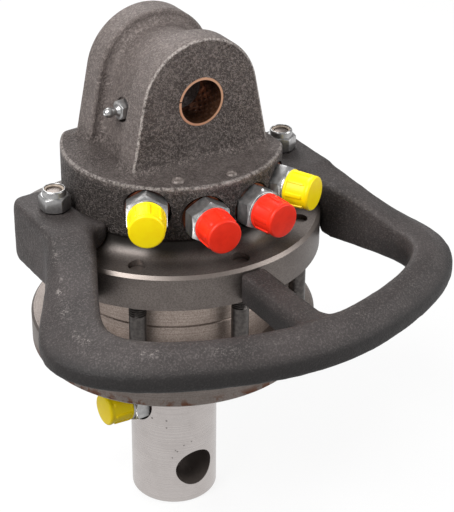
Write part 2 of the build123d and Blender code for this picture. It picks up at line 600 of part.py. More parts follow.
# Hose guard: two pads, two flared arms that meet in a bow, and the strut
with BuildPart(mode=Mode.PRIVATE) as left_arm:
    loft([guard_section(section, 0) for section in GUARD_SECTIONS])
with BuildPart() as guard:
    loft([guard_section(section, GUARD_PULL) for section in GUARD_SECTIONS])
    add(mirror(left_arm.part, about=Plane.YZ))
    for side in (-1, 1):
        with BuildSketch(level(GUARD_BOTTOM)) as pad:
            with Locations((side * (BOLT_CIRCLE + (PAD_OUTSIDE - PAD_INSIDE) / 2),
                            (PAD_FRONT + PAD_BACK) / 2)):
                Rectangle(PAD_OUTSIDE + PAD_INSIDE, PAD_BACK - PAD_FRONT)
            outer = pad.vertices().filter_by(lambda v: side * v.X > BOLT_CIRCLE)
            fillet(outer.sort_by(Axis.Y)[-1:], PAD_CORNER)
        extrude(amount=PAD_TOP - GUARD_BOTTOM)
    with BuildSketch(level(GUARD_BOTTOM)):
        bow = GUARD_SECTIONS[-1][1] * FLANGE_RADIUS
        with BuildLine() as half:
            Polyline((0, bow - STRUT_ROOT_DEPTH), (STRUT_ROOT_HALF_WIDTH, bow - STRUT_ROOT_DEPTH),
                     (STRUT_ROOT_HALF_WIDTH, bow))
            ThreePointArc((STRUT_ROOT_HALF_WIDTH, bow),
                          (STRUT_HALF_WIDTH + STRUT_BEND_OUT, bow + STRUT_BEND_IN),
                          (STRUT_HALF_WIDTH, bow + STRUT_FLARE))
            Polyline((STRUT_HALF_WIDTH, bow + STRUT_FLARE), (STRUT_HALF_WIDTH, -DRUM_RADIUS),
                     (0, -DRUM_RADIUS))
            mirror(about=Plane.YZ)
        make_face()
    extrude(amount=STRUT_TOP - GUARD_BOTTOM)
    with BuildSketch(Plane.XZ):
        with BuildLine():
            wall = DRUM_RADIUS + GUARD_RIM_GAP
            fillet_foot = FLANGE_TOP + GUARD_RIM_GAP
            Polyline((0, 0), (wall, 0), (wall, FLANGE_TOP + FLANGE_FILLET))
            RadiusArc((wall, FLANGE_TOP + FLANGE_FILLET),
                      (DRUM_RADIUS + FLANGE_FILLET, fillet_foot), GUARD_RIM_GAP - FLANGE_FILLET)
            Polyline((DRUM_RADIUS + FLANGE_FILLET, fillet_foot),
                     (DRUM_RADIUS + FLANGE_FILLET, FLANGE_TOP),
                     (FLANGE_RADIUS + GUARD_RIM_GAP, FLANGE_TOP),
                     (FLANGE_RADIUS + GUARD_RIM_GAP, PLATE_TOP), (0, PLATE_TOP), (0, 0))
        make_face()
    revolve(axis=Axis.Z, mode=Mode.SUBTRACT)
    with BuildSketch(level(GUARD_BOTTOM)):
        with Locations(*bolt_spots(True)):
            Circle(BOLT_RADIUS + LOOSE)
    extrude(amount=PAD_TOP - GUARD_BOTTOM, mode=Mode.SUBTRACT)
keep(guard, "hose_guard")


# Port fittings with their seal rings and screwed transport caps
for name, seat in {**HEAD_SEATS, **SHAFT_SEATS}.items():
    with BuildPart() as fitting:
        with BuildSketch(seat.offset(SEAL_THICKNESS)):
            RegularPolygon(FITTING_FLATS / 2, 6, major_radius=False)
        extrude(amount=FITTING_HEX_HEIGHT)
        turn_solid(seat, [
            (0, -FITTING_STUD_LENGTH), (PORT_RADIUS - FIT, -FITTING_STUD_LENGTH),
            (PORT_RADIUS - FIT, SEAL_THICKNESS), (FITTING_COLLAR_RADIUS, SEAL_THICKNESS),
            (FITTING_COLLAR_RADIUS, CAP_SEAT), (FITTING_NOSE_RADIUS, CAP_SEAT),
            (FITTING_NOSE_RADIUS, CAP_SEAT + FITTING_NOSE_LENGTH),
            (0, CAP_SEAT + FITTING_NOSE_LENGTH)])
        turn_solid(seat, [
            (0, -FITTING_STUD_LENGTH), (FITTING_BORE_RADIUS, -FITTING_STUD_LENGTH),
            (FITTING_BORE_RADIUS, CAP_SEAT + FITTING_NOSE_LENGTH),
            (0, CAP_SEAT + FITTING_NOSE_LENGTH)], Mode.SUBTRACT)
    keep(fitting, "fitting_" + name)
    with BuildPart() as seal:
        turn_solid(seat, [(PORT_RADIUS + FIT, 0), (SEAL_RADIUS, 0),
                          (SEAL_RADIUS, SEAL_THICKNESS), (PORT_RADIUS + FIT, SEAL_THICKNESS)])
    keep(seal, "seal_" + name)
    with BuildPart() as cap:
        end = CAP_SEAT + CAP_LENGTH
        hollow = end - CAP_WALL_END
        turn_solid(seat, [
            (FITTING_NOSE_RADIUS + FIT, CAP_SEAT), (CAP_BASE_RADIUS, CAP_SEAT),
            (CAP_END_RADIUS, end - CAP_EDGE), (CAP_END_RADIUS - CAP_EDGE, end),
            (0, end), (0, hollow), (FITTING_NOSE_RADIUS + FIT, hollow)])
        middle = seat.offset((CAP_SEAT + end - CAP_EDGE) / 2)
        with BuildSketch(middle.offset(-CAP_PANEL_LENGTH / 2)):
            with PolarLocations(CAP_BASE_RADIUS, CAP_PANELS):
                Rectangle(2 * CAP_PANEL_DEPTH, CAP_PANEL_WIDTH)
        extrude(amount=CAP_PANEL_LENGTH, mode=Mode.SUBTRACT)
    keep(cap, "cap_" + name)


# Swivel seals in the head's bore, and the seals between the body's joint faces
with BuildPart() as swivel_seals:
    for height in SWIVEL_SEAL_HEIGHTS:
        turn_ring(height - SWIVEL_SEAL_WIDTH / 2 + FIT, height + SWIVEL_SEAL_WIDTH / 2 - FIT,
                  SWIVEL_RADIUS + RUN, SWIVEL_RADIUS + SWIVEL_SEAL_DEPTH)
keep(swivel_seals, "swivel_seals")

with BuildPart() as joint_seals:
    for bottom in (PLATE_TOP, CAM_BOTTOM, FLANGE_BOTTOM - JOINT_SEAL_SIZE):
        turn_ring(bottom, bottom + JOINT_SEAL_SIZE, JOINT_SEAL_INNER, JOINT_SEAL_OUTER)
keep(joint_seals, "joint_seals")


# Dowels that line the head, both rings and the plate up
with BuildPart() as dowels:
    with BuildSketch(level(PLATE_TOP - DOWEL_DEPTH)):
        with PolarLocations(DOWEL_CIRCLE, DOWEL_COUNT):
            Circle(DOWEL_RADIUS)
    extrude(amount=FLANGE_BOTTOM - PLATE_TOP + 2 * DOWEL_DEPTH - FIT)
keep(dowels, "dowel_pins")


# Journal bush, shaft seal and wiper in the lower plate
with BuildPart() as journal_bush:
    turn_ring(JOURNAL_BUSH_BOTTOM, PLATE_TOP, SHAFT_RADIUS + RUN, JOURNAL_BUSH_RADIUS)
keep(journal_bush, "journal_bush")

with BuildPart() as shaft_seal:
    turn_ring(PLATE_BOTTOM + WIPER_HEIGHT, SEAL_POCKET_TOP, SHAFT_RADIUS + RUN, SHAFT_SEAL_RADIUS)
keep(shaft_seal, "shaft_seal")

with BuildPart() as wiper:
    turn_solid(Plane.XY, [
        (SHAFT_RADIUS + RUN, PLATE_BOTTOM - WIPER_LIP), (SHAFT_RADIUS + WIPER_LIP, PLATE_BOTTOM),
        (SHAFT_SEAL_RADIUS, PLATE_BOTTOM), (SHAFT_SEAL_RADIUS, PLATE_BOTTOM + WIPER_HEIGHT),
        (SHAFT_RADIUS + RUN, PLATE_BOTTOM + WIPER_HEIGHT)])
keep(wiper, "wiper")


# Thrust bearing: two races and a cage of rollers
with BuildPart() as upper_race:
    turn_ring(COLLAR_BOTTOM - RACE_THICKNESS, COLLAR_BOTTOM,
              SHAFT_RADIUS + FIT, BEARING_RADIUS - CAGE_EDGE)
keep(upper_race, "upper_race")

with BuildPart() as lower_race:
    turn_ring(PLATE_TOP, PLATE_TOP + RACE_THICKNESS, SHAFT_RADIUS + CAGE_EDGE, BEARING_RADIUS)
keep(lower_race, "lower_race")

ROLLER_RADIUS = BEARING_HEIGHT / 2 - RACE_THICKNESS - RUN
ROLLER_LEVEL = PLATE_TOP + BEARING_HEIGHT / 2
ROLLER_CIRCLE = (SHAFT_RADIUS + BEARING_RADIUS) / 2
ROLLER_TURNS = [360.0 / ROLLER_COUNT * place for place in range(ROLLER_COUNT)]
ROLLER_SEATS = [Plane(origin=(cos(radians(turn)) * (ROLLER_CIRCLE - ROLLER_LENGTH / 2),
                              sin(radians(turn)) * (ROLLER_CIRCLE - ROLLER_LENGTH / 2),
                              ROLLER_LEVEL),
                      x_dir=(0, 0, 1), z_dir=(cos(radians(turn)), sin(radians(turn)), 0))
                for turn in ROLLER_TURNS]

with BuildPart() as bearing_cage:
    turn_ring(ROLLER_LEVEL - CAGE_THICKNESS / 2, ROLLER_LEVEL + CAGE_THICKNESS / 2,
              SHAFT_RADIUS + CAGE_EDGE, BEARING_RADIUS - CAGE_EDGE)
    with BuildSketch(level(ROLLER_LEVEL - CAGE_THICKNESS / 2)):
        with PolarLocations(ROLLER_CIRCLE, ROLLER_COUNT):
            Rectangle(ROLLER_LENGTH + 2 * POCKET_GAP, 2 * (ROLLER_RADIUS + POCKET_GAP))
    extrude(amount=CAGE_THICKNESS, mode=Mode.SUBTRACT)
keep(bearing_cage, "bearing_cage")

with BuildPart() as rollers:
    for seat in ROLLER_SEATS:
        with BuildSketch(seat):
            Circle(ROLLER_RADIUS)
        extrude(amount=ROLLER_LENGTH)
keep(rollers, "bearing_rollers")


# Rotor shaft: swivel journal, slotted rotor, collar and output shaft in one
with BuildPart() as shaft:
    turn_solid(Plane.XY, [
        (0, SHAFT_BOTTOM), (SHAFT_RADIUS, SHAFT_BOTTOM), (SHAFT_RADIUS, COLLAR_BOTTOM),
        (COLLAR_RADIUS, COLLAR_BOTTOM), (COLLAR_RADIUS, CAM_BOTTOM + ROTOR_SIDE_GAP),
        (ROTOR_RADIUS, CAM_BOTTOM + ROTOR_SIDE_GAP),
        (ROTOR_RADIUS, FLANGE_BOTTOM - ROTOR_SIDE_GAP),
        (SWIVEL_RADIUS, FLANGE_BOTTOM - ROTOR_SIDE_GAP), (SWIVEL_RADIUS, SHAFT_TOP),
        (0, SHAFT_TOP)])
    fillet(shaft.edges().sort_by(Axis.Z)[:1], SHAFT_END_EDGE)
    with BuildSketch(Plane.XZ):
        with Locations((0, LOWER_PIN)):
            Circle(PIN_RADIUS)
    extrude(amount=SHAFT_RADIUS, both=True, mode=Mode.SUBTRACT)
    with BuildSketch(level(CAM_BOTTOM + ROTOR_SIDE_GAP)):
        for turn in VANE_TURNS:
            with PolarLocations((VANE_SLOT_FLOOR + ROTOR_RADIUS) / 2 + 1, 1, start_angle=turn):
                Rectangle(ROTOR_RADIUS - VANE_SLOT_FLOOR + 2, VANE_THICKNESS)
    extrude(amount=CAM_RING_HEIGHT - 2 * ROTOR_SIDE_GAP, mode=Mode.SUBTRACT)
    for seat in SHAFT_SEATS.values():
        turn_solid(seat, [(0, -PORT_DEPTH), (PORT_RADIUS, -PORT_DEPTH), (PORT_RADIUS, 0),
                          (SPOT_FACE_RADIUS, 0), (SPOT_FACE_RADIUS, SPOT_FACE_RADIUS),
                          (0, SPOT_FACE_RADIUS)], Mode.SUBTRACT)
    for side, gallery in zip((-1, 1), GALLERY_HEIGHTS):
        way = side * AXIAL_OILWAY_OFFSET
        drill(Vector(way, 0, SHAFT_TOP), Vector(way, 0, SHAFT_PORT_HEIGHT), AXIAL_OILWAY_RADIUS)
        drill(Vector(side * SWIVEL_RADIUS, 0, gallery), Vector(way, 0, gallery),
              CROSS_OILWAY_RADIUS)
keep(shaft, "rotor_shaft")

with BuildPart() as plugs:
    with BuildSketch(level(SHAFT_TOP - OILWAY_PLUG_LENGTH)):
        with Locations((-AXIAL_OILWAY_OFFSET, 0), (AXIAL_OILWAY_OFFSET, 0)):
            Circle(AXIAL_OILWAY_RADIUS)
    extrude(amount=OILWAY_PLUG_LENGTH)
keep(plugs, "oilway_plugs")


# Vanes, drawn back in their slots, and the leaf springs behind them
for place, turn in enumerate(VANE_TURNS, start=1):
    with BuildPart() as vane:
        with BuildSketch(level(CAM_BOTTOM + ROTOR_SIDE_GAP)):
            with PolarLocations(VANE_INNER + VANE_DEPTH / 2 - VANE_TIP_SUNK, 1, start_angle=turn):
                Rectangle(VANE_DEPTH, VANE_THICKNESS - 2 * FIT)
        extrude(amount=CAM_RING_HEIGHT - 2 * ROTOR_SIDE_GAP)
    keep(vane, "vane_" + str(place))

with BuildPart() as springs:
    base = VANE_SLOT_FLOOR + FIT
    rise = VANE_INNER - VANE_TIP_SUNK - base - SPRING_THICKNESS - FIT
    foot = (FLANGE_BOTTOM + CAM_BOTTOM) / 2 - SPRING_LENGTH / 2
    crown = (FLANGE_BOTTOM + CAM_BOTTOM) / 2
    for turn in VANE_TURNS:
        side = Plane(origin=(0, 0, 0), x_dir=(cos(radians(turn)), sin(radians(turn)), 0),
                     z_dir=(sin(radians(turn)), -cos(radians(turn)), 0))
        with BuildSketch(side):
            with BuildLine():
                ThreePointArc((base, foot), (base + rise, crown), (base, foot + SPRING_LENGTH))
                Line((base, foot + SPRING_LENGTH), (base + SPRING_THICKNESS, foot + SPRING_LENGTH))
                ThreePointArc((base + SPRING_THICKNESS, foot + SPRING_LENGTH),
                              (base + rise + SPRING_THICKNESS, crown),
                              (base + SPRING_THICKNESS, foot))
                Line((base + SPRING_THICKNESS, foot), (base, foot))
            make_face()
        extrude(amount=SPRING_WIDTH / 2, both=True)
keep(springs, "vane_springs")


os.makedirs("parts", exist_ok=True)
for name, part in PIECES:
    export_step(part, "parts/" + name + ".step")
    print(name, len(part.solids()), round(part.volume))
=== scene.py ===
# %% [markdown]
# This is a hydraulic grapple rotator. It hangs on a crane's link pin and turns a grapple without
# limit. The CAD model is the frame: its head, rings and shaft already have the right shape, so they
# only get finishes. The small turned and moulded pieces are modelled here instead, because their
# chamfers, threads and ribs are what the eye looks for up close. The hose guard is rounded here.

# %% Frame
import bpy
import json
from math import atan2, cos, degrees, radians, sin, sqrt
from mathutils import Matrix, Vector


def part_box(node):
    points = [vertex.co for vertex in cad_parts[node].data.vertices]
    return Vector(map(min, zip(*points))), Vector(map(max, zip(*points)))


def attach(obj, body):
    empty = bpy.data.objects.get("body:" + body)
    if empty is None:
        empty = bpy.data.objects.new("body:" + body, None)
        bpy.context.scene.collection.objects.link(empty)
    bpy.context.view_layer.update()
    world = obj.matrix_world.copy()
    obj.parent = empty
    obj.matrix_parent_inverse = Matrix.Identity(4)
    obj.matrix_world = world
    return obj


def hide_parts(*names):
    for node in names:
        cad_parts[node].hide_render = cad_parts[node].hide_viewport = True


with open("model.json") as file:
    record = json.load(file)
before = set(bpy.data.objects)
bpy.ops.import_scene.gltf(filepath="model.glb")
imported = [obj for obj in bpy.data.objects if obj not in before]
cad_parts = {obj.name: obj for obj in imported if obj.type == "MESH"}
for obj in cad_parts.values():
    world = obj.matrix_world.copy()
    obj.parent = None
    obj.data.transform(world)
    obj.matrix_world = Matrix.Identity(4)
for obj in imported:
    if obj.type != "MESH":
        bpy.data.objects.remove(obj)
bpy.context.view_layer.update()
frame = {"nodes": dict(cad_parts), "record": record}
nodes = frame["nodes"]
mounts = {mount["name"]: mount for mount in frame["record"]["mounts"]}
bpy.ops.object.select_all(action="DESELECT")
mm = 0.001

# %% [markdown]
# The heights and radii that the pieces and finishes need are read from the CAD nodes, so they
# follow the castings. A round piece's box gives its radius. A few sizes aren't the edge of any
# node, such as the flange's thickness, so they are named values.

# %% Sizes from the frame
flange_thickness = 25 * mm
bolt_head_height = 12 * mm
bolt_head_radius = 9 * mm
nut_height = 15 * mm
shaft_radius = 32 * mm
flange_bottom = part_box("cam_ring")[1][2]
flange_top = flange_bottom + flange_thickness
flange_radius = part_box("head_casting")[1][0]
pad_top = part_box("guard_nuts")[0][2]
plate_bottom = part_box("lower_plate")[0][2]
shaft_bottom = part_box("rotor_shaft")[0][2]
bolt_bottom, bolt_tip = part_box("body_bolts")[0][2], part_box("body_bolts")[1][2]
bolt_seat = bolt_bottom + bolt_head_height
bolt_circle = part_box("guard_bolts")[1][0] - bolt_head_radius
print("flange", flange_top, flange_bottom, "plate", plate_bottom, "bolt circle", bolt_circle)

# %% [markdown]
# Blender's operators work on whatever is selected, as they do by hand, so each step first picks
# one piece and nothing else. A turned tube also ends with doubled points where its outline closes.
# They hardly show, but a Boolean fails on such an open seam, so they are merged and the faces are
# turned outwards.

# %% Picking, cleaning and deleting a piece
def select_only(piece):
    bpy.ops.object.select_all(action="DESELECT")
    piece.select_set(True)
    bpy.context.view_layer.objects.active = piece


def clean(piece):
    """Merge doubled points and turn every face outwards."""
    select_only(piece)
    bpy.ops.object.mode_set(mode="EDIT")
    bpy.ops.mesh.select_all(action="SELECT")
    bpy.ops.mesh.remove_doubles(threshold=0.001 * mm)
    bpy.ops.mesh.normals_make_consistent(inside=False)
    bpy.ops.mesh.select_all(action="DESELECT")
    bpy.ops.object.mode_set(mode="OBJECT")


def delete(piece):
    select_only(piece)
    bpy.ops.object.delete()


print("picking helpers ready")

# %% [markdown]
# Most of the small pieces are turned on a lathe. Their profile could be spun, but a circle that is
# extruded along the axis and resized at every corner of the outline leaves clean rings of faces
# that are easy to pick again later. A filled first circle gives a solid piece. An empty one gives
# a tube, whose outline ends where it starts, and the two ends are merged.

# %% Turning a piece
def turned(name, outline, around=64, filled=True):
    """Turn an outline of (radius, height) points in millimetres round the local Z axis."""
    radius, height = outline[0]
    bpy.ops.mesh.primitive_circle_add(vertices=around, radius=radius * mm, location=(0, 0, height * mm),
                                      fill_type="NGON" if filled else "NOTHING")
    piece = bpy.context.object
    piece.name = name
    bpy.ops.object.transform_apply(location=True, rotation=True, scale=True)
    bpy.ops.object.mode_set(mode="EDIT")
    bpy.ops.mesh.select_mode(type="VERT")
    bpy.ops.mesh.select_all(action="SELECT")
    for next_radius, next_height in outline[1:]:
        rise = (next_height - height) * mm
        bpy.ops.mesh.extrude_region_move(TRANSFORM_OT_translate={"value": (0.0, 0.0, rise)})
        spread = next_radius / radius
        bpy.ops.transform.resize(value=(spread, spread, 1.0), center_override=(0.0, 0.0, 0.0))
        radius, height = next_radius, next_height
    bpy.ops.object.mode_set(mode="OBJECT")
    clean(piece)
    return piece


print("turning helper ready")

# %% [markdown]
# The fittings, the nuts and the nipple all start as hexagon bar. A cylinder with six sides would
# do for it. A six-sided circle extruded once is the same bar, and it starts as the turned pieces
# do, so one way of working serves both. One corner always lies on local Y.

# %% Hexagon bar
def hex_prism(name, flats, bottom, top):
    """Six-sided bar with a corner on local Y, in millimetres across its flats."""
    bpy.ops.mesh.primitive_circle_add(vertices=6, radius=flats / sqrt(3) * mm, fill_type="NGON",
                                      location=(0, 0, bottom * mm))
    piece = bpy.context.object
    piece.name = name
    bpy.ops.object.transform_apply(location=True, rotation=True, scale=True)
    bpy.ops.object.mode_set(mode="EDIT")
    bpy.ops.mesh.select_all(action="SELECT")
    bpy.ops.mesh.extrude_region_move(TRANSFORM_OT_translate={"value": (0.0, 0.0, (top - bottom) * mm)})
    bpy.ops.object.mode_set(mode="OBJECT")
    clean(piece)
    return piece


print("hexagon helper ready")

# %% [markdown]
# On a real piece the tool leaves flat cuts, and deburring leaves a small radius on every edge,
# which is what catches the light. The cuts are Booleans. The edges could be picked and bevelled
# one by one, but a Bevel modifier limited by angle finds all the sharp ones by itself.

# %% Cutting and rounding
def combine(piece, tool, operation):
    """Apply a Boolean of the tool to the piece and delete the tool."""
    select_only(piece)
    step = piece.modifiers.new("cut", "BOOLEAN")
    step.operation = operation
    step.solver = "EXACT"
    step.object = tool
    bpy.ops.object.modifier_apply(modifier=step.name)
    delete(tool)
    select_only(piece)


def soften(piece, width=0.25, segments=2, smooth=35):
    """Round the edges sharper than 28 degrees a little and shade across the soft ones."""
    select_only(piece)
    step = piece.modifiers.new("edges", "BEVEL")
    step.width = width * mm
    step.segments = segments
    step.limit_method = "ANGLE"
    step.angle_limit = radians(28)
    bpy.ops.object.modifier_apply(modifier=step.name)
    bpy.ops.object.shade_smooth_by_angle(angle=radians(smooth))


print("cutting helpers ready")

# %% [markdown]
# Pieces that repeat are modelled once and copied, and each copy is then turned to its port or
# moved to its bolt hole. The place could stay on the object, but the finishes are laid on object
# coordinates and would start anew on every copy. So the place is put into the mesh.

# %% Copying and placing
def copy_of(piece, name):
    select_only(piece)
    bpy.ops.object.duplicate(linked=False)
    copy = bpy.context.object
    copy.name = name
    return copy


def place(piece, point, axis):
    """Set local Z along the axis and local Y upwards, with the place kept in the mesh."""
    forward = Vector(axis).normalized()
    side = Vector((0.0, 0.0, 1.0)).cross(forward).normalized()
    up = forward.cross(side)
    piece.matrix_world = Matrix.Translation(point) @ Matrix((side, up, forward)).transposed().to_4x4()
    select_only(piece)
    bpy.ops.object.transform_apply(location=True, rotation=True, scale=True)
    return piece


def move(piece, point):
    select_only(piece)
    piece.location = point
    bpy.ops.object.transform_apply(location=True, rotation=True, scale=True)
    return piece


print("placing helpers ready")

# %% [markdown]
# The fittings' noses and the bolts carry threads. A true helix could be cut with a screw, but at
# this size rings of grooves look the same and take far fewer faces. A ring is four points of a
# turned outline, with narrow crests and roots and straight flanks between them.

# %% Grooves of a thread
def grooves(start, end, pitch, crest, root):
    """Outline points of ring grooves that stand for a thread."""
    points = []
    count = round(abs(end - start) / pitch)
    step = (end - start) / count
    for turn in range(count):
        base = start + step * turn
        points += [(crest, base + step * 0.12), (root, base + step * 0.46),
                   (root, base + step * 0.54), (crest, base + step * 0.88)]
    return points


print("one turn of a thread", grooves(0.0, 1.0, 1.0, 6.0, 5.0))

# %% [markdown]
# A port fitting is turned from hexagon bar: a stud that screws into the head, the hexagon with its
# corners turned off in a cone, a collar, and a threaded nose for the hose. The hexagon is a bar
# whose corners are cut away by a turned double cone, which leaves the curved lines that every real
# hexagon shows. All lengths and radii are in millimetres from the spot face of the port.

# %% Port fitting
port_flats = 27.0
port_corner = 15.75
seal_thickness = 2.0
hex_end = seal_thickness + 12.0
collar_end = hex_end + 1.6
nose_start = collar_end + 0.8
nose_end = collar_end + 14.0
nose_pitch = 1.5
nose_crest, nose_root = 10.0, 9.2
collar_radius = 12.6
neck_radius = 9.3
stud_radius, stud_depth = 9.45, 13.0
bore_radius = 5.0

fitting_hex = hex_prism("fitting_master", port_flats, seal_thickness, hex_end)
cone = turned("cone", [(collar_radius, seal_thickness - 0.01), (port_corner, seal_thickness + 1.3),
                       (port_corner, hex_end - 1.7), (collar_radius + 0.3, hex_end + 0.01)], around=96)
combine(fitting_hex, cone, "INTERSECT")
stud = [(bore_radius, -stud_depth), (9.0, -stud_depth), (stud_radius, -12.4),
        (stud_radius, seal_thickness + 0.3)]
collar = [(collar_radius, seal_thickness + 0.3), (collar_radius, collar_end - 0.4), (12.2, collar_end),
          (neck_radius, collar_end), (neck_radius, nose_start)]
nose = grooves(nose_start, nose_end - 1.2, nose_pitch, nose_crest, nose_root)
mouth = [(9.9, nose_end - 0.8), (9.1, nose_end), (6.0, nose_end), (bore_radius, nose_end - 1.0),
         (bore_radius, -stud_depth)]
fitting_stem = turned("stem", stud + collar + nose + mouth, filled=False)
bore_tool = turned("bore", [(bore_radius - 0.01, -14.0), (bore_radius - 0.01, nose_end + 1.0)])
combine(fitting_hex, bore_tool, "DIFFERENCE")
combine(fitting_hex, fitting_stem, "UNION")
soften(fitting_hex, 0.18)
print("fitting faces", len(fitting_hex.data.polygons))

# %% [markdown]
# Four fittings fan out from the drum and two stand on the shaft. They are the same bought-in part,
# so the one above is copied six times. Each port is a mount of the frame, whose point is the
# fitting's mouth, so the copy is set back along the port's axis by the fitting's length.

# %% Six fittings in their ports
port_names = ["outer_left", "inner_left", "inner_right", "outer_right", "shaft_left", "shaft_right"]


def port_place(name):
    """Centre of the port's spot face and the way that the port looks."""
    mount = mounts["port_" + name]
    outwards = Vector(mount["axis"]).normalized()
    return Vector(mount["pos_m"]) - outwards * nose_end * mm, outwards


def port_body(name):
    return "rotor" if name.startswith("shaft") else "body"


fittings = {}
for name in port_names:
    piece = copy_of(fitting_hex, "port_fitting_" + name)
    place(piece, *port_place(name))
    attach(piece, port_body(name))
    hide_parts("fitting_" + name)
    fittings[name] = piece
delete(fitting_hex)
print("fittings", len(fittings))

# %% [markdown]
# The transport caps are soft plastic, moulded as thin cups with a plain band at the mouth, narrow
# grip ribs along most of the wall and a broad flat end. The cup is turned. Ribs could be boxes
# joined on, but moulded ribs grow out of the wall, so every eighth pair of the wall's sixty-four
# faces is picked and pushed outwards. The rounding comes last, as no moulded edge is sharp.

# %% Transport cap
cap_end = collar_end + 18.6
cap_faces = 64
cup_radius = 10.05
mouth_radius = 12.85
end_radius = 12.0
between_walls = 11.0
rib_start, rib_end = collar_end + 1.9, cap_end - 4.4
rib_height = 0.95
rib_taper = 0.93


def cap_wall(height):
    """Radius of the tapered wall between the ribs."""
    along = (height - collar_end) / (cap_end - collar_end)
    return 12.15 - 0.75 * along


cap_inside = [(cup_radius, cap_end - 3.0), (cup_radius, collar_end)]
cap_mouth = [(12.7, collar_end), (mouth_radius, collar_end + 0.3), (mouth_radius, rib_start - 0.5)]
cap_side = [(cap_wall(rib_start) + 0.15, rib_start - 0.1), (cap_wall(rib_start), rib_start),
            (cap_wall(rib_end), rib_end), (cap_wall(rib_end), rib_end + 1.0)]
cap_top = [(11.95, rib_end + 1.7), (end_radius, cap_end - 1.5), (11.75, cap_end - 0.7),
           (11.2, cap_end - 0.15), (10.4, cap_end)]
cap = turned("cap_master", cap_inside + cap_mouth + cap_side + cap_top, around=cap_faces)
select_only(cap)
bpy.ops.object.mode_set(mode="EDIT")
bpy.ops.mesh.select_mode(type="FACE")
bpy.ops.object.mode_set(mode="OBJECT")
for face in cap.data.polygons:
    centre = face.center
    on_wall = rib_start * mm < centre.z < rib_end * mm and centre.xy.length > between_walls * mm
    column = int(round(degrees(atan2(centre.x, centre.y)) % 360.0 / (360.0 / cap_faces) - 0.5))
    face.select = on_wall and column % 8 in (0, 1)
rib_faces = sum(face.select for face in cap.data.polygons)
bpy.ops.object.mode_set(mode="EDIT")
bpy.ops.mesh.extrude_region_move(TRANSFORM_OT_translate={"value": (0.0, 0.0, 0.0)})
swell = (cap_wall(rib_start) + rib_height) / cap_wall(rib_start)
bpy.ops.transform.resize(value=(swell, swell, rib_taper),
                         center_override=(0.0, 0.0, (rib_start + 0.1) * mm))
bpy.ops.object.mode_set(mode="OBJECT")
clean(cap)
soften(cap, 0.32, smooth=40)
print("cap rib faces", rib_faces)

# %% [markdown]
# Every fitting carries one cap, so the caps stand in the same places as the fittings. Their
# outline was drawn from the same spot face, which lets the same place serve both.

# %% Six caps on the fittings
caps = {}
for name in port_names:
    piece = copy_of(cap, "transport_cap_" + name)
    place(piece, *port_place(name))
    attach(piece, port_body(name))
    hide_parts("cap_" + name)
    caps[name] = piece
delete(cap)
print("caps", len(caps))

# %% [markdown]
# The socket head bolts are black and hang head down. Their stem is plain up to a little below the
# flange, where the thread starts. Head, stem, thread and point are one outline, as they are one
# piece of steel. The socket could be an inset of the head's end, but that has forty sides, so a
# hexagon bar is cut out instead. The bolts are drawn at their real height.

# %% Socket head bolts
bolt_radius = 6.0
bolt_pitch = 1.75
bolt_root = 4.95
socket_flats, socket_depth = 10.0, 6.0
thread_below_flange = 12 * mm
tip_in_nut = 2 * mm


def socket_bolt(name, tip):
    """Bolt from its head's bottom up to the tip, in millimetres at its real height."""
    seat, bottom, top = bolt_seat / mm, bolt_bottom / mm, tip / mm
    thread_start = (flange_bottom - thread_below_flange) / mm
    head = [(8.4, bottom), (9.0, bottom + 0.6), (9.0, seat - 0.3), (8.7, seat), (bolt_radius, seat)]
    thread = grooves(thread_start, top - 1.2, bolt_pitch, bolt_radius, bolt_root)
    point = [(5.8, top - 0.9), (4.9, top)]
    bolt = turned(name, head + [(bolt_radius, thread_start)] + thread + point, around=40)
    socket = hex_prism("socket", socket_flats, bottom - 1.0, bottom + socket_depth)
    combine(bolt, socket, "DIFFERENCE")
    soften(bolt, 0.15, segments=1, smooth=40)
    return bolt


body_bolt = socket_bolt("bolt_master", bolt_tip)
guard_bolt = socket_bolt("guard_bolt_master", pad_top + nut_height - tip_in_nut)
print("bolt faces", len(body_bolt.data.polygons), "guard bolt faces", len(guard_bolt.data.polygons))

# %% [markdown]
# Eight bolts stand on one circle. Six close the body, and the two at the sides are longer, since
# they also hold the guard. Both kinds are copied round the circle in one loop, which keeps their
# even spacing. They aren't turned on their own axis, since a thread looks the same from all sides.

# %% Bolts on their circle
bolt_count = 8
bolts = []
for turn in range(bolt_count):
    angle = radians(360 / bolt_count * turn)
    on_guard = turn % 4 == 0
    master, kind = (guard_bolt, "guard_bolt_") if on_guard else (body_bolt, "body_bolt_")
    piece = copy_of(master, kind + str(turn))
    move(piece, (bolt_circle * cos(angle), bolt_circle * sin(angle), 0.0))
    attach(piece, "body")
    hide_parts("guard_bolts" if on_guard else "body_bolts")
    bolts.append(piece)
delete(body_bolt)
delete(guard_bolt)
print("bolts", len(bolts))

# %% [markdown]
# The guard is held by lock nuts. The hexagon has its corners turned off at both ends, and above it
# stands the rounded collar that holds a tan nylon ring, which grips the thread. The ring is a
# piece of its own, because its finish is another one and its edge shows as a fine circle.

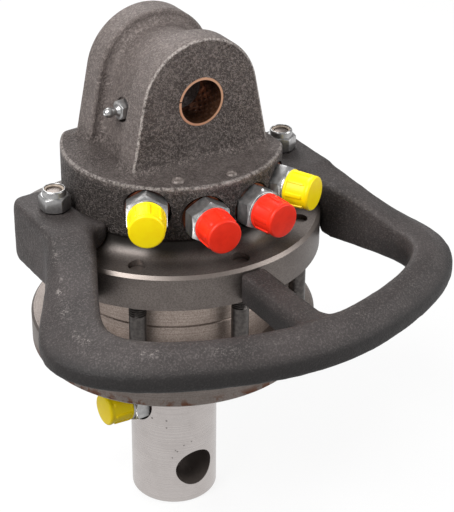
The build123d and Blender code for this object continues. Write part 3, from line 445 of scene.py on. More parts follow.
# %% Lock nut and its grip ring
nut_flats = 19.0
nut_corner = 11.2
nut_bore = 6.05
nut_base = pad_top / mm
nut_hex_top, nut_top = nut_base + 10.5, nut_base + nut_height / mm
nut = hex_prism("nut_master", nut_flats, nut_base, nut_hex_top)
nut_cone = turned("cone", [(9.0, nut_base - 0.01), (nut_corner, nut_base + 1.1),
                           (nut_corner, nut_hex_top - 1.5), (8.9, nut_hex_top + 0.01)], around=96)
combine(nut, nut_cone, "INTERSECT")
nut_collar = turned("collar", [
    (7.5, nut_hex_top - 2.0), (8.2, nut_hex_top - 2.0), (8.2, nut_top - 1.5), (7.95, nut_top - 0.7),
    (7.4, nut_top - 0.15), (6.95, nut_top - 0.1), (6.75, nut_top - 0.5), (6.95, nut_top - 1.0),
    (6.95, nut_top - 4.0), (6.2, nut_top - 4.2), (6.2, nut_hex_top - 2.0), (7.5, nut_hex_top - 2.0)],
    filled=False)
nut_hole = turned("hole", [(nut_bore, nut_base - 1.0), (nut_bore, nut_top + 1.0)])
combine(nut, nut_hole, "DIFFERENCE")
combine(nut, nut_collar, "UNION")
soften(nut, 0.2)
grip = turned("grip_master", [
    (6.15, nut_top - 4.0), (6.9, nut_top - 4.0), (6.9, nut_top - 1.15), (6.6, nut_top - 0.8),
    (5.9, nut_top - 0.8), (5.35, nut_top - 1.2), (5.25, nut_top - 1.9), (6.15, nut_top - 2.6),
    (6.15, nut_top - 4.0)], filled=False)
soften(grip, 0.1, segments=1)

lock_nuts, grip_rings = [], []
for side, label in ((-1, "left"), (1, "right")):
    for master, kept, name in ((nut, lock_nuts, "lock_nut_"), (grip, grip_rings, "grip_ring_")):
        piece = move(copy_of(master, name + label), (side * bolt_circle, 0.0, 0.0))
        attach(piece, "body")
        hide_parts("guard_nuts")
        kept.append(piece)
delete(nut)
delete(grip)
print("lock nuts", len(lock_nuts), "grip rings", len(grip_rings))

# %% [markdown]
# The bushes in the lug are rolled from bronze sheet. Their inner wall is stamped with diamond
# pockets that hold grease. Each pocket could be cut by a tool of its own, but there are dozens. The
# wall is a grid of small faces, so one point in every group is pushed outwards, and its four
# neighbours turn that into a diamond.

# %% Bush with grease pockets
bush_bore, bush_outside, bush_length = 15.0, 17.0, 27.0
bush_edge = 0.25
bush_columns = 72
bush_rows, bush_row, row_shift = 15, 1.8, 0.2
pocket_swell = 1.03
bush_outline = [(bush_bore + bush_edge, 0.0), (bush_outside - bush_edge, 0.0), (bush_outside, bush_edge),
                (bush_outside, bush_length - bush_edge), (bush_outside - bush_edge, bush_length),
                (bush_bore + bush_edge, bush_length)]
bush_outline += [(bush_bore, bush_length - bush_row * (row + row_shift)) for row in range(bush_rows)]
bush_outline += [(bush_bore + bush_edge, 0.0)]
bush = turned("bush_master", bush_outline, around=bush_columns, filled=False)
select_only(bush)
bpy.ops.object.mode_set(mode="EDIT")
bpy.ops.mesh.select_mode(type="VERT")
bpy.ops.object.mode_set(mode="OBJECT")
for point in bush.data.vertices:
    row = (bush_length - point.co.z / mm) / bush_row - row_shift
    turn = degrees(atan2(point.co.x, point.co.y)) % 360.0 / (360.0 / bush_columns)
    column = round(turn) % bush_columns
    inside = point.co.xy.length < (bush_bore + 0.05) * mm and 0.5 < row < bush_rows - 1.5
    row = round(row)
    point.select = inside and row % 2 == 1 and column % 4 == (0 if row % 4 == 1 else 2)
pocket_count = sum(point.select for point in bush.data.vertices)
bpy.ops.object.mode_set(mode="EDIT")
bpy.ops.transform.resize(value=(pocket_swell, pocket_swell, 1.0), center_override=(0.0, 0.0, 0.0))
bpy.ops.object.mode_set(mode="OBJECT")
print("pockets", pocket_count)

# %% [markdown]
# The two edges of the rolled sheet meet in a butt, which shows as a narrow slit. It could be a
# dark line in the finish, but it has real depth, so a thin block cuts it through the wall. The
# slits lie on the same side of the lug, and the bushes are turned opposite ways, so each is cut on
# its own local side.

# %% Two bushes in the lug
lug_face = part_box("bush_rear")[1][1] / mm
slit_size = Vector((6.0, 0.8, 40.0)) * mm
slit_height = 3.0
bushes = []
for side, name in ((-1, "front"), (1, "rear")):
    piece = copy_of(bush, "lug_bush_" + name)
    middle = (-side * (bush_bore + bush_outside) / 2 * mm, slit_height * mm, bush_length / 2 * mm)
    bpy.ops.mesh.primitive_cube_add(size=1.0, location=middle)
    slit = bpy.context.object
    slit.scale = slit_size
    bpy.ops.object.transform_apply(location=True, rotation=True, scale=True)
    combine(piece, slit, "DIFFERENCE")
    bpy.ops.object.shade_smooth_by_angle(angle=radians(12))
    place(piece, Vector((0.0, side * lug_face * mm, 0.0)), (0.0, -side, 0.0))
    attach(piece, "body")
    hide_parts("bush_" + name)
    bushes.append(piece)
delete(bush)
print("bushes", len(bushes), "lug face", lug_face)

# %% [markdown]
# The grease nipple is a small hexagon with a turned neck and a ball head, where the grease gun
# snaps on. It stands in the groove of the lug and looks sideways. The ball could be a sphere joined
# to the neck, but on the real nipple both are turned in one cut, so one outline gives both.

# %% Grease nipple
nipple_flats = 13.0
nipple_length = 17 * mm
nipple = hex_prism("lug_grease_nipple", nipple_flats, 0.0, 6.0)
nipple_cone = turned("cone", [(6.3, -0.01), (7.6, 0.6), (7.6, 5.1), (6.2, 6.01)], around=72)
combine(nipple, nipple_cone, "INTERSECT")
nipple_stud = [(4.6, -7.0), (5.0, -6.6), (5.0, 0.2), (4.4, 0.2), (4.4, 5.8), (3.9, 6.6)]
nipple_neck = [(2.7, 7.7), (2.5, 8.4), (2.5, 9.4), (2.9, 10.1), (3.5, 10.9)]
nipple_ball = [(3.7, 11.8), (3.7, 12.6), (3.5, 13.6), (3.1, 14.6), (2.5, 15.5), (2.1, 16.0),
               (1.5, 16.3), (1.0, 16.3), (0.7, 15.8), (0.4, 15.6)]
nipple_head = turned("head", nipple_stud + nipple_neck + nipple_ball, around=48)
combine(nipple, nipple_head, "UNION")
soften(nipple, 0.15)
nipple_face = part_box("grease_nipple")[0][0] + nipple_length
nipple_height = (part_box("grease_nipple")[0][2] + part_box("grease_nipple")[1][2]) / 2
place(nipple, Vector((nipple_face, 0.0, nipple_height)), (-1.0, 0.0, 0.0))
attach(nipple, "body")
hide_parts("grease_nipple")
print("nipple face", nipple_face, "height", nipple_height)

# %% [markdown]
# Two low round spots stand on the drum's top, where vents of the mould were fettled off. Each is a
# turned disc whose rim is rounded by the bevel, sunk a little into the casting. They could be a
# bump in the finish, but a bump has no edge that catches the light.

# %% Casting spots on the drum
drum_top = -42.5
casting_spots = []
for label, x, y, radius, height in (("left", -29.1, -58.5, 4.0, 1.3), ("right", 6.5, -68.0, 3.4, 1.2)):
    spot = turned("casting_spot_" + label, [
        (radius * 1.2, drum_top - 0.8), (radius * 1.1, drum_top), (radius * 0.85, drum_top + height),
        (radius * 0.6, drum_top + height), (radius * 0.35, drum_top + height * 0.4)], around=40)
    soften(spot, 0.2, smooth=60)
    move(spot, (x * mm, y * mm, 0.0))
    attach(spot, "body")
    casting_spots.append(spot)
print("casting spots", len(casting_spots))

# %% [markdown]
# The hose guard is a rough casting, so it has no sharp corner anywhere, and its pads flow into its
# arms. Bevels can't round edges that run into one another like these. Instead a copy of the CAD
# node is merged, rebuilt as an even skin of small faces, and smoothed, which rounds every edge and
# fills every inner corner. The pads get more of it than the bow. A fine cloud texture then pushes
# the skin in and out a little, as sand does.

# %% Hose guard
guard_skin = 1.5 * mm
smoothing, pad_smoothing = 22, 45
pad_front, pad_inside = -62 * mm, 62 * mm
guard = copy_of(nodes["hose_guard"], "cast_hose_guard")
clean(guard)


def apply_step(kind, **settings):
    """Add one modifier to the guard with these settings and apply it."""
    step = guard.modifiers.new(kind.lower(), kind)
    for name, value in settings.items():
        setattr(step, name, value)
    bpy.ops.object.modifier_apply(modifier=step.name)


apply_step("REMESH", mode="VOXEL", voxel_size=guard_skin)
apply_step("SMOOTH", factor=0.5, iterations=smoothing)
on_pads = [point.index for point in guard.data.vertices
           if point.co.y > pad_front and abs(point.co.x) > pad_inside]
pads = guard.vertex_groups.new(name="pads")
pads.add(on_pads, 1.0, "REPLACE")
apply_step("SMOOTH", factor=0.5, iterations=pad_smoothing, vertex_group=pads.name)
sand = bpy.data.textures.new("sand", "CLOUDS")
sand.noise_scale = 9 * mm
sand.noise_depth = 2
apply_step("DISPLACE", texture=sand, strength=0.5 * mm, mid_level=0.62)
bpy.ops.object.shade_smooth()
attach(guard, "body")
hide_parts("hose_guard")

# %% [markdown]
# The guard takes its knocks on the ridge along the top of its arms and bow. Scuffs could be laid
# on by height, but the ridge falls from the pads to the bow. So its corners are given for one side,
# in millimetres, and each point of the skin keeps how near it is to that line in an attribute.

# %% Ridge of the guard
ridge_corners = [(108.0, -12.0, -72.9), (112.5, -36.7, -75.0), (118.2, -56.2, -80.0),
                 (127.8, -79.9, -88.5), (136.8, -108.9, -94.5), (133.1, -132.6, -95.5),
                 (117.0, -153.1, -95.0), (92.1, -169.1, -94.5), (58.9, -182.5, -94.5),
                 (0.0, -192.5, -94.5)]
ridge_corners = [Vector(corner) * mm for corner in ridge_corners]
ridge_reach = 6 * mm


def to_ridge(point):
    """Distance of a point to the ridge, with both arms folded onto one side."""
    folded = Vector((abs(point.x), point.y, point.z))
    nearest = 1.0
    for start, end in zip(ridge_corners, ridge_corners[1:]):
        along = end - start
        share = max(0.0, min(1.0, (folded - start).dot(along) / along.length_squared))
        nearest = min(nearest, (folded - start - along * share).length)
    return nearest


ridge = guard.data.attributes.new("ridge", "FLOAT", "POINT")
for point, kept in zip(guard.data.vertices, ridge.data):
    kept.value = max(0.0, 1.0 - to_ridge(point.co) / ridge_reach)
print("points on the ridge", sum(kept.value > 0 for kept in ridge.data))

# %% [markdown]
# A finish is a tree of nodes. It could be clicked together one node at a time, but a tree is
# easier to read when a node and its inputs are written in one call. These helpers add a node, do
# sums, make a soft step from 0 to 1, lay a noise of a given size and mix numbers or colours.

# %% Helpers for nodes
def node(tree, kind, inputs=None, **settings):
    """Add a node. A socket among the inputs is linked, anything else is the input's own value."""
    made = tree.nodes.new("ShaderNode" + kind)
    for name, value in settings.items():
        setattr(made, name, value)
    for name, value in (inputs or {}).items():
        if isinstance(value, bpy.types.NodeSocket):
            tree.links.new(value, made.inputs[name])
        else:
            made.inputs[name].default_value = value
    return made


def maths(tree, operation, *values):
    return node(tree, "Math", dict(enumerate(values)), operation=operation).outputs[0]


def times(tree, first, *others):
    """Product of all the numbers."""
    for other in others:
        first = maths(tree, "MULTIPLY", first, other)
    return first


def fade(tree, value, start, end):
    """0 before start and 1 after end, with a soft change between them."""
    made = node(tree, "MapRange", {"Value": value, "From Min": start, "From Max": end},
                interpolation_type="SMOOTHSTEP")
    return made.outputs[0]


def noise(tree, place, size, detail=3.0, roughness=0.5, distortion=0.0):
    made = node(tree, "TexNoise", {"Vector": place, "Scale": 1 / size, "Detail": detail,
                                   "Roughness": roughness, "Distortion": distortion})
    return made.outputs["Fac"]


def mix(tree, amount, first, second):
    """Number between first and second."""
    return node(tree, "Mix", {0: amount, 2: first, 3: second}).outputs[0]


def blend(tree, amount, first, second):
    """Colour between first and second."""
    return node(tree, "Mix", {0: amount, 6: first, 7: second}, data_type="RGBA").outputs[2]


def colour(red, green, blue):
    """Linear colour from the 0 to 255 values that a screen shows."""
    parts = [part / 255 / 12.92 if part <= 10 else ((part / 255 + 0.055) / 1.055) ** 2.4
             for part in (red, green, blue)]
    return (*parts, 1.0)


print("node helpers ready")

# %% [markdown]
# Every finish starts the same way: a material, its shader, and the place of each point. Patterns
# could be laid on an unwrapped surface, but castings have no seams to hide. Object coordinates run
# through the whole part and are its own metres here, so a grain size can be given in millimetres.

# %% Start of a finish
class Finish:
    """A material with its shader, object coordinates and split axes ready."""

    def __init__(self, name):
        self.material = bpy.data.materials.new(name)
        self.material.use_nodes = True
        self.tree = self.material.node_tree
        self.shader = self.tree.nodes["Principled BSDF"]
        self.place = self.tree.nodes.new("ShaderNodeTexCoord").outputs["Object"]
        self.x, self.y, self.z = node(self.tree, "SeparateXYZ", {0: self.place}).outputs

    def away(self, first, second):
        """Distance from an axis through the origin, from the two coordinates across it."""
        square = maths(self.tree, "MULTIPLY", first, first)
        return maths(self.tree, "SQRT", maths(self.tree, "MULTIPLY_ADD", second, second, square))

    def near(self, x, y, z, reach):
        """1 at a point, given in millimetres, and 0 from a reach away."""
        gap = node(self.tree, "VectorMath", {0: self.place, 1: (x * mm, y * mm, z * mm)},
                   operation="DISTANCE").outputs["Value"]
        return fade(self.tree, gap, reach * mm, reach * 0.35 * mm)

    def set(self, **values):
        for name, value in values.items():
            socket = self.shader.inputs[name.replace("_", " ").title()]
            if isinstance(value, bpy.types.NodeSocket):
                self.tree.links.new(value, socket)
            else:
                socket.default_value = value

    def bump(self, height, distance, strength=1.0, under=None):
        inputs = {"Height": height, "Distance": distance, "Strength": strength}
        if under is not None:
            inputs["Normal"] = under
        return node(self.tree, "Bump", inputs).outputs["Normal"]


print("finish helper ready")

# %% [markdown]
# The lug's faces end in a thin rim that is rubbed bright, since chains and hands pass there. Its
# light colour is partly that wear and partly a painted highlight along the edge. The edges could be
# picked in the mesh, but the CAD node's mesh is left alone. So the rim is found by sums: the distance
# from the pin bore at the top, and from the leaning flanks below it.

# %% Rim of the lug
lug_radius = 44 * mm
lug_half_width = 40 * mm
cheek_lean = radians(10.9)
flank_top = lug_radius * sin(cheek_lean)


def lug_rim(finish):
    """1 on the two thin edges round the lug's faces, above the drum."""
    tree = finish.tree
    flank = maths(tree, "MULTIPLY_ADD", maths(tree, "ABSOLUTE", finish.x), cos(cheek_lean),
                  times(tree, finish.z, sin(cheek_lean)))
    on_arch = maths(tree, "GREATER_THAN", finish.z, flank_top)
    outline = mix(tree, on_arch, flank, finish.away(finish.x, finish.z))
    wander = noise(tree, finish.place, 5 * mm, 4.0, 0.65)
    outline = maths(tree, "ADD", outline, maths(tree, "MULTIPLY_ADD", wander, 1.6 * mm, -0.8 * mm))
    inner = fade(tree, outline, lug_radius - 2.0 * mm, lug_radius - 1.3 * mm)
    outer = fade(tree, outline, lug_radius + 0.4 * mm, lug_radius - 0.5 * mm)
    face = fade(tree, maths(tree, "ABSOLUTE", finish.y), lug_half_width - 1.8 * mm,
                lug_half_width - 0.8 * mm)
    above_drum = fade(tree, finish.z, (drum_top + 1.5) * mm, (drum_top + 6.5) * mm)
    return times(tree, inner, outer, face, above_drum)


print("rim from", flank_top, "down leans by", degrees(cheek_lean))

# %% [markdown]
# The head is a sand casting. Its skin is dark, warm grey iron with a wormy grain of about two
# millimetres and scattered bright specks. The drum's side is painted darker as shade, and its top is
# smoother. The band round the lug is smoother and painted lighter where the lamps light it. Below
# the drum it has been turned, so the hollow fillet and the flange are smooth and satin. The flange's
# top edge has a painted highlight, and the hollow is painted dark as shade. One material covers all
# of this, because it is one casting: each zone is found from its radius and height, and noise breaks
# up the borders.

# %% Finish of the head casting
drum_radius = 76.5 * mm
fillet_top = flange_top + 13 * mm


def cast_head():
    finish = Finish("cast_head")
    tree = finish.tree
    radius = finish.away(finish.x, finish.y)
    patches = noise(tree, finish.place, 24 * mm, 4.0, 0.6)
    grain = noise(tree, finish.place, 1.7 * mm, 2.0, 0.55, 1.3)
    pits = noise(tree, finish.place, 0.55 * mm, 2.0, 0.6)
    turned_zone = fade(tree, finish.z, fillet_top + 0.7 * mm, fillet_top - 1.8 * mm)
    off_face = fade(tree, maths(tree, "ABSOLUTE", finish.y), lug_half_width - 0.1 * mm,
                    lug_half_width - 1.4 * mm)
    lit_lug_band = times(tree, off_face, fade(tree, finish.z, (drum_top + 2.5) * mm, (drum_top + 12.5) * mm))
    shaded_drum_side = fade(tree, finish.z, (drum_top - 2.5) * mm, (drum_top - 5.5) * mm)
    drum_top_zone = times(tree, fade(tree, finish.z, (drum_top + 3.0) * mm, (drum_top + 1.0) * mm),
                          fade(tree, finish.z, (drum_top - 2.5) * mm, (drum_top - 1.0) * mm))

    skin = blend(tree, fade(tree, patches, 0.32, 0.68), colour(68, 60, 57), colour(86, 78, 75))
    # Painted light: the lug's band and groove are made lighter where the lamps light them. The same band
    # also gets a smoother grain further down.
    skin = blend(tree, times(tree, lit_lug_band, 0.45), skin, colour(126, 116, 112))
    # Painted shade: the drum's side below its top is darkened nearly to black.
    skin = blend(tree, times(tree, shaded_drum_side, 0.8), skin, colour(36, 31, 29))
    crests = times(tree, fade(tree, grain, 0.46, 0.60),
                   mix(tree, drum_top_zone, mix(tree, shaded_drum_side, 0.6, 0.3), 0.35))
    skin = blend(tree, crests, skin, colour(146, 135, 130))
    specks = times(tree, fade(tree, pits, 0.62, 0.74), fade(tree, grain, 0.48, 0.6), 0.7)
    skin = blend(tree, specks, skin, colour(184, 174, 168))
    # The drum's top edge and the lug's rim are made lighter: partly rubbed wear, partly a painted
    # highlight.
    drum_edge_wear_and_highlight = times(tree, fade(tree, radius, drum_radius - 2.6 * mm, drum_radius - 1.1 * mm),
                      fade(tree, finish.z, (drum_top - 2.5) * mm, (drum_top - 1.1) * mm), 0.6)
    chips = fade(tree, noise(tree, finish.place, 2.2 * mm, 6.0, 0.75), 0.38, 0.60)
    bright = times(tree, maths(tree, "MAXIMUM", drum_edge_wear_and_highlight, lug_rim(finish)), chips, 0.8)
    skin = blend(tree, bright, skin, colour(206, 197, 191))

    speckle = noise(tree, finish.place, 1.0 * mm, 3.0, 0.7)
    metal = blend(tree, fade(tree, speckle, 0.35, 0.65), colour(100, 92, 88), colour(124, 116, 111))
    dull = times(tree, fade(tree, patches, 0.4, 0.65), 0.4)
    metal = blend(tree, dull, metal, colour(92, 84, 80))
    # Painted highlight: a lighter line along the flange's top edge.
    corner = times(tree, fade(tree, radius, flange_radius - 3.0 * mm, flange_radius - 2.2 * mm),
                   fade(tree, finish.z, flange_top - 2.8 * mm, flange_top - 1.6 * mm), 0.6)
    metal = blend(tree, corner, metal, colour(126, 117, 111))
    # Painted shade: the hollow fillet next to the drum is darkened nearly to black.
    painted_hollow_shade = times(tree, fade(tree, radius, drum_radius + 7.5 * mm, drum_radius + 1.0 * mm), 0.85)
    metal = blend(tree, painted_hollow_shade, metal, colour(30, 27, 25))
    finish.set(base_color=blend(tree, turned_zone, skin, metal),
               metallic=mix(tree, turned_zone, 0.45, 0.7),
               roughness=mix(tree, turned_zone, mix(tree, grain, 0.70, 0.34), 0.40))

    grit = times(tree, maths(tree, "MULTIPLY_ADD", pits, 0.3, grain), mix(tree, lit_lug_band, 1.0, 0.55))
    rough_skin = times(tree, grit, maths(tree, "SUBTRACT", 1.0, turned_zone))
    lines = node(tree, "CombineXYZ", {2: maths(tree, "ADD", finish.z, radius)}).outputs[0]
    lathe = noise(tree, lines, 0.35 * mm, 2.0, 0.6)
    skin_bump = finish.bump(rough_skin, 2.0 * mm)
    finish.set(normal=finish.bump(times(tree, lathe, turned_zone), 0.02 * mm, 0.6, skin_bump))
    return finish.material


cast_head_finish = cast_head()
print("finish", cast_head_finish.name)

# %% [markdown]
# The hose guard is the same iron, but finer grained and darker. Its belly, below the ridge of the
# bow, is painted darker still as shade, since it faces down. It also takes the knocks: pale scuffs
# lie along the ridge, more of them on the left arm. Painting them by hand would follow this mesh
# only, so they come from a noise that the ridge's attribute lets through.

# %% Finish of the hose guard
bow_top = ridge_corners[-1].z


def cast_guard():
    finish = Finish("cast_guard")
    tree = finish.tree
    patches = noise(tree, finish.place, 34 * mm, 4.0, 0.55)
    grain = noise(tree, finish.place, 1.2 * mm, 3.0, 0.6, 0.4)
    skin = blend(tree, fade(tree, patches, 0.35, 0.68), colour(50, 45, 44), colour(63, 57, 56))
    crests = times(tree, fade(tree, grain, 0.48, 0.68), 0.6)
    skin = blend(tree, crests, skin, colour(99, 92, 90))
    # Painted shade: the bow's underside below the ridge is darkened nearly to black.
    painted_belly_shade = times(tree, fade(tree, finish.z, bow_top - 4.5 * mm, bow_top - 12.5 * mm),
                  fade(tree, finish.y, -80 * mm, -130 * mm), 0.8)
    skin = blend(tree, painted_belly_shade, skin, colour(26, 24, 24))
    near_ridge = node(tree, "Attribute", attribute_name="ridge").outputs["Fac"]
    rubbed = fade(tree, noise(tree, finish.place, 20 * mm, 4.0, 0.6), 0.42, 0.62)
    scuffs = fade(tree, noise(tree, finish.place, 3.2 * mm, 8.0, 0.74, 1.2), 0.52, 0.62)
    left_more = mix(tree, fade(tree, finish.x, -40 * mm, -90 * mm), 0.2, 0.65)
    scuffs = times(tree, scuffs, rubbed, fade(tree, near_ridge, 0.25, 0.75), left_more)
    skin = blend(tree, scuffs, skin, colour(170, 162, 157))
    finish.set(base_color=skin, metallic=0.25, roughness=mix(tree, grain, 0.72, 0.44),
               normal=finish.bump(grain, 0.55 * mm))
    return finish.material


cast_guard_finish = cast_guard()
print("finish", cast_guard_finish.name)

# %% [markdown]
# The rings, the plate and the shaft are turned steel. A lathe leaves fine lines that run round the
# axis, so their height only depends on how far up or out a point is. An anisotropic shader gives
# the long highlight but no lines, and here the lines show. The rings have dulled to a warm
# brown-grey, the plate has rust along its lower corner, and the shaft is bright with small dents.

# %% Finishes of turned steel
def turned_steel(name, dark, light, roughness, line_size, speck, rust=0.0, dents=(), hole=False):
    finish = Finish(name)
    tree = finish.tree
    radius = finish.away(finish.x, finish.y)
    along = node(tree, "CombineXYZ", {2: maths(tree, "ADD", finish.z, radius)}).outputs[0]
    lines = noise(tree, along, line_size, 3.0, 0.7)
    patches = noise(tree, finish.place, 12 * mm, 5.0, 0.62)
    speckle = noise(tree, finish.place, 0.9 * mm, 3.0, 0.7)
    skin = blend(tree, fade(tree, mix(tree, speck, lines, speckle), 0.36, 0.64), dark, light)
    skin = blend(tree, times(tree, fade(tree, patches, 0.42, 0.68), 0.5), skin, dark)
    if rust:
        low = fade(tree, finish.z, plate_bottom + 9.0 * mm, plate_bottom + 2.0 * mm)
        spots = fade(tree, noise(tree, finish.place, 14 * mm, 7.0, 0.68, 0.6), 0.50, 0.58)
        skin = blend(tree, times(tree, low, spots, rust), skin, colour(92, 60, 44))
    if hole:
        inside = times(tree, fade(tree, radius, shaft_radius - 0.2 * mm, shaft_radius - 0.8 * mm),
                       fade(tree, finish.z, shaft_bottom + 4 * mm, shaft_bottom + 8 * mm))
        skin = blend(tree, inside, skin, colour(112, 103, 98))
        roughness = mix(tree, inside, roughness, 0.6)
    height = lines
    for x, y, z, reach in dents:
        dent = finish.near(x, y, z, reach)
        skin = blend(tree, times(tree, dent, 0.75), skin, colour(84, 78, 76))
        height = maths(tree, "SUBTRACT", height, times(tree, dent, 3.0))
    gloss = maths(tree, "MULTIPLY_ADD", lines, -0.16, 0.08)
    finish.set(base_color=skin, metallic=0.85, roughness=maths(tree, "ADD", gloss, roughness),
               normal=finish.bump(height, 0.03 * mm, 0.6))
    return finish.material


ring_finish = turned_steel("ring_steel", colour(146, 131, 122), colour(198, 183, 173), roughness=0.48,
                           line_size=1.2 * mm, speck=0.6)
plate_finish = turned_steel("plate_steel", colour(106, 98, 93), colour(136, 127, 122), roughness=0.44,
                            line_size=0.8 * mm, speck=0.5, rust=1.0)
shaft_dents = ((-27.7, -16.0, -256.4, 1.2), (-20.5, -24.6, -256.5, 1.0), (-20.5, -24.6, -262.8, 0.9),
               (-13.9, -28.8, -284.0, 0.9), (-15.1, -28.2, -282.9, 0.8), (-9.3, -30.6, -278.9, 0.8),
               (-3.5, -31.8, -276.8, 0.8), (-17.2, -27.0, -289.6, 0.8))
shaft_finish = turned_steel("shaft_steel", colour(190, 183, 180), colour(212, 205, 202), roughness=0.27,
                            line_size=0.7 * mm, speck=0.15, dents=shaft_dents, hole=True)
print("turned finishes", ring_finish.name, plate_finish.name, shaft_finish.name)

# %% [markdown]
# Small hardware has plain finishes with a little life in them. Zinc plating is pale and slightly
# cloudy, and copper seal rings are warm and dull. A single even colour would look like paint, so
# one soft cloud moves the colour and the gloss together, and a very fine bump breaks reflections.

# %% Finishes of the small metal pieces
def plain_metal(name, clear, cloudy, roughness, metallic=1.0, cloud_size=3.0):
    finish = Finish(name)
    tree = finish.tree
    cloud = noise(tree, finish.place, cloud_size * mm, 4.0, 0.6)
    finish.set(base_color=blend(tree, fade(tree, cloud, 0.35, 0.68), clear, cloudy), metallic=metallic,
               roughness=mix(tree, cloud, roughness - 0.07, roughness + 0.09),
               normal=finish.bump(noise(tree, finish.place, 0.5 * mm, 3.0, 0.6), 0.02 * mm, 0.5))
    return finish.material


zinc_finish = plain_metal("zinc_plate", colour(166, 165, 165), colour(190, 189, 188), 0.30, 0.9)
copper_finish = plain_metal("copper_washer", colour(104, 58, 42), colour(134, 80, 58), 0.42)
bronze_finish = plain_metal("journal_bronze", colour(168, 108, 74), colour(205, 148, 112), 0.30)
brass_finish = plain_metal("cage_brass", colour(176, 142, 76), colour(206, 176, 108), 0.32)
ground_finish = plain_metal("ground_steel", colour(182, 182, 182), colour(206, 206, 206), 0.22)
spring_finish = plain_metal("spring_steel", colour(70, 76, 92), colour(108, 108, 112), 0.30)
rubber_finish = plain_metal("seal_rubber", colour(26, 26, 26), colour(38, 38, 38), 0.55, 0.0)
nylon_finish = plain_metal("nylon_ring", colour(146, 132, 118), colour(176, 162, 148), 0.5, 0.0)
fettled_finish = plain_metal("fettled_spot", colour(84, 76, 72), colour(138, 128, 123), 0.58, 0.3, 1.5)
print("small finishes", len(bpy.data.materials))

# %% [markdown]
# Black oxide is a thin, oiled skin on steel. It is nearly black with a soft shine, and it rubs off
# where a spanner or a thread scrapes, so the end of each bolt is bare. The ends could be a second
# material on picked faces, but their height is known, so the finish finds them by itself.

# %% Finish of the bolts
def black_oxide():
    finish = Finish("black_oxide")
    tree = finish.tree
    cloud = noise(tree, finish.place, 3 * mm, 4.0, 0.6)
    skin = blend(tree, fade(tree, cloud, 0.35, 0.68), colour(74, 70, 68), colour(98, 93, 90))
    body_end = times(tree, fade(tree, finish.z, bolt_tip - 0.9 * mm, bolt_tip - 0.5 * mm),
                     fade(tree, finish.z, bolt_tip + 2 * mm, bolt_tip + 1 * mm))
    guard_tip = pad_top + nut_height - tip_in_nut
    guard_end = fade(tree, finish.z, guard_tip - 1.0 * mm, guard_tip - 0.5 * mm)
    bare = times(tree, maths(tree, "MAXIMUM", body_end, guard_end), 0.8)
    skin = blend(tree, bare, skin, colour(128, 118, 112))
    finish.set(base_color=skin, metallic=0.8, roughness=mix(tree, cloud, 0.3, 0.44),
               normal=finish.bump(noise(tree, finish.place, 0.5 * mm, 3.0, 0.6), 0.02 * mm, 0.5))
    return finish.material


black_finish = black_oxide()
print("finish", black_finish.name)

# %% [markdown]
# A bronze bush shines on its end face, is browner inside, and holds dark grease in its pockets.
# The pockets lie further out than the bore, so the distance from the bore's axis tells them from
# the wall between them. That keeps grease and pocket together however many pockets there are.

# %% Finish of the bushes
def bronze_bush():
    finish = Finish("bush_bronze")
    tree = finish.tree
    cloud = noise(tree, finish.place, 3 * mm, 4.0, 0.6)
    skin = blend(tree, fade(tree, cloud, 0.35, 0.68), colour(104, 70, 50), colour(142, 100, 74))
    face = fade(tree, maths(tree, "ABSOLUTE", finish.y), lug_half_width - 0.6 * mm,
                lug_half_width - 0.1 * mm)
    skin = blend(tree, face, skin, colour(210, 162, 132))
    depth = fade(tree, finish.away(finish.x, finish.z), (bush_bore + 0.06) * mm, (bush_bore + 0.35) * mm)
    pocket = times(tree, depth, maths(tree, "SUBTRACT", 1.0, face))
    skin = blend(tree, times(tree, pocket, 0.8), skin, colour(58, 42, 36))
    finish.set(base_color=skin, metallic=mix(tree, pocket, 0.9, 0.4),
               roughness=mix(tree, pocket, 0.34, 0.5),
               normal=finish.bump(noise(tree, finish.place, 0.5 * mm, 3.0, 0.6), 0.02 * mm, 0.5))
    return finish.material


bush_finish = bronze_bush()
print("finish", bush_finish.name)

# %% [markdown]
# The transport caps are dyed plastic with a soft gloss, a little uneven from the mould. Light that
# goes under the surface could be added, but a cap this thick hardly shows it. A lower specular
# level and a cloudy roughness give the waxy look at less cost.

# %% Finishes of the caps
def soft_plastic(name, clear, worn):
    finish = Finish(name)
    tree = finish.tree
    cloud = noise(tree, finish.place, 7 * mm, 3.0, 0.5)
    finish.set(base_color=blend(tree, fade(tree, cloud, 0.3, 0.8), clear, worn),
               roughness=mix(tree, noise(tree, finish.place, 2 * mm, 4.0, 0.6), 0.36, 0.5),
               normal=finish.bump(noise(tree, finish.place, 0.9 * mm, 3.0, 0.55), 0.05 * mm, 0.5))
    finish.shader.inputs["Specular IOR Level"].default_value = 0.3
    return finish.material


yellow_finish = soft_plastic("yellow_cap", colour(255, 228, 0), colour(252, 218, 0))
red_finish = soft_plastic("red_cap", colour(246, 50, 26), colour(232, 42, 20))
print("cap finishes", yellow_finish.name, red_finish.name)

# %% [markdown]
# Each CAD node gets its finish by name, also where a new piece stands in for it. A vane, a race or
# a roller never shows from outside, but it is ground steel all the same. Assigning them one by one
# would hide a node that was forgotten, so one loop gives every node a finish.

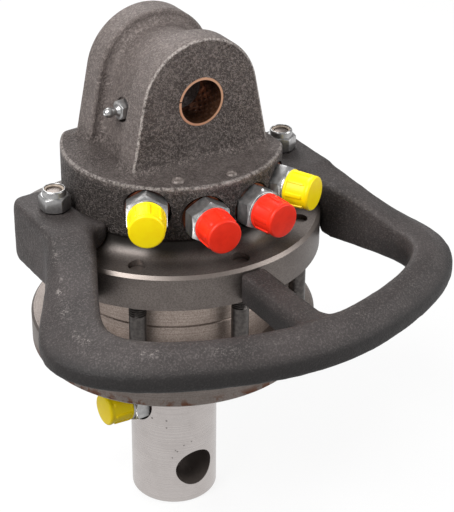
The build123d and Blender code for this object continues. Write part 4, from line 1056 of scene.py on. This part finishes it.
# %% Finishes of the CAD nodes
node_finishes = {
    "head_casting": cast_head_finish, "hose_guard": cast_guard_finish,
    "cam_ring": ring_finish, "bearing_ring": ring_finish, "lower_plate": plate_finish,
    "rotor_shaft": shaft_finish, "journal_bush": bronze_finish, "bearing_cage": brass_finish,
    "vane_springs": spring_finish, "swivel_seals": rubber_finish, "joint_seals": rubber_finish,
    "shaft_seal": rubber_finish, "wiper": rubber_finish, "bush_front": bush_finish,
    "bush_rear": bush_finish, "body_bolts": black_finish, "guard_bolts": black_finish,
    "guard_nuts": zinc_finish, "grease_nipple": zinc_finish,
}
for name, piece in nodes.items():
    finish = node_finishes.get(name, ground_finish)
    if name.startswith("fitting_"):
        finish = zinc_finish
    if name.startswith("seal_"):
        finish = copper_finish
    if name.startswith("cap_"):
        finish = red_finish if "inner" in name else yellow_finish
    piece.data.materials.clear()
    piece.data.materials.append(finish)
print("finishes put on", len(nodes), "nodes")

# %% [markdown]
# The new pieces get the same finishes as the nodes that they stand in for. Pieces with one finish
# share one material, so that the yellow of a cap can be changed later for every cap at once. The
# nylon rings get a finish of their own.

# %% Finishes of the new pieces
def dress(pieces, finish):
    for piece in pieces:
        piece.data.materials.clear()
        piece.data.materials.append(finish)


dress(fittings.values(), zinc_finish)
dress([caps[name] for name in port_names if "inner" not in name], yellow_finish)
dress([caps[name] for name in port_names if "inner" in name], red_finish)
dress(bolts, black_finish)
dress(lock_nuts + [nipple], zinc_finish)
dress(bushes, bush_finish)
dress(casting_spots, fettled_finish)
dress([guard], cast_guard_finish)
dress(grip_rings, nylon_finish)
print("new pieces dressed, materials", len(bpy.data.materials))

# %% [markdown]
# The photograph was taken from above and to the left with a long lens. The camera could be placed
# by eye, but a small slip moves every edge. It stands on a line through a point near the flange,
# at the bearing and height that put every edge where it is in the picture. The picture is taller
# than it is wide, so the lens is set against its height.

# %% Camera
look_at = Vector((32.95, -20.67, -135.20)) * mm
bearing = radians(-32.098)
elevation = radians(29.508)
roll = radians(0.541)
distance = 1204.33 * mm
back = Vector((sin(bearing) * cos(elevation), -cos(bearing) * cos(elevation), sin(elevation)))
level_right = Vector((cos(bearing), sin(bearing), 0.0))
level_up = back.cross(level_right)
right = level_right * cos(roll) + level_up * sin(roll)
up = back.cross(right)
bpy.ops.object.camera_add(location=look_at + back * distance)
camera = bpy.context.object
camera.matrix_world = Matrix((
    (right.x, up.x, back.x, camera.location.x),
    (right.y, up.y, back.y, camera.location.y),
    (right.z, up.z, back.z, camera.location.z),
    (0.0, 0.0, 0.0, 1.0)))
camera.data.lens = 118.75
camera.data.sensor_width = 36.0
camera.data.clip_start = 0.05
bpy.context.scene.camera = camera
print("camera at", tuple(camera.location))

# %% [markdown]
# Soft studio light: a large lamp above and to the left is the key, a weaker one fills from the
# right, and one behind draws the edges. A single lamp would leave the drum's side black. All three
# are big squares that face the middle of the rotator, since a small lamp throws hard shadows.

# %% Lamps
lit_point = Vector((0.0, -0.04, -0.14))


def softbox(name, position, size, power):
    turn = (lit_point - Vector(position)).to_track_quat("-Z", "Y").to_euler()
    bpy.ops.object.light_add(type="AREA", location=position, rotation=turn)
    lamp = bpy.context.object
    lamp.name = name
    lamp.data.size = size
    lamp.data.energy = power


softbox("key_lamp", position=(-1.1, -0.3, 1.1), size=0.9, power=31.0)
softbox("fill_lamp", position=(1.2, -0.9, 0.7), size=1.0, power=16.0)
softbox("rear_lamp", position=(0.3, 1.2, 0.9), size=0.9, power=12.0)
print("lamps", len(bpy.data.lights))

# %% [markdown]
# The rotator stands on a plain white ground. More light would burn the floor out, but it would
# also burn out the steel. So the floor is white only to the camera and in reflections, and the
# world only to the camera. Both are dimmer to the light that falls on the part. The floor keeps
# the shadow.

# %% Floor and background
floor_to_camera, floor_to_light = 0.86, 0.15
floor_glow = 0.82
world_light = 0.36


def grey(level):
    return (level, level, level, 1.0)


def white_ground():
    finish = Finish("white_ground")
    tree = finish.tree
    seen = node(tree, "LightPath")
    base = blend(tree, seen.outputs["Is Camera Ray"], grey(floor_to_light), grey(floor_to_camera))
    finish.set(base_color=base, roughness=0.9)
    rays = maths(tree, "MAXIMUM", seen.outputs["Is Camera Ray"], seen.outputs["Is Glossy Ray"])
    glow = node(tree, "Emission", {"Color": grey(1.0), "Strength": 1.0})
    mixed = node(tree, "MixShader", {0: times(tree, rays, floor_glow), 1: finish.shader.outputs[0],
                                     2: glow.outputs[0]})
    tree.links.new(mixed.outputs[0], tree.nodes["Material Output"].inputs["Surface"])
    return finish.material


bpy.ops.mesh.primitive_plane_add(size=12.0, location=(0.0, 0.0, shaft_bottom))
floor = bpy.context.object
floor.name = "floor"
floor.data.materials.append(white_ground())

world = bpy.data.worlds.new("studio")
bpy.context.scene.world = world
world.use_nodes = True
sky = world.node_tree
seen = node(sky, "LightPath")
white_to = maths(sky, "MAXIMUM", seen.outputs["Is Camera Ray"], seen.outputs["Is Transmission Ray"])
background = sky.nodes["Background"]
background.inputs["Color"].default_value = grey(1.0)
sky.links.new(mix(sky, white_to, world_light, 1.0), background.inputs["Strength"])
bpy.context.scene.view_settings.view_transform = "Standard"
print("floor at", shaft_bottom)
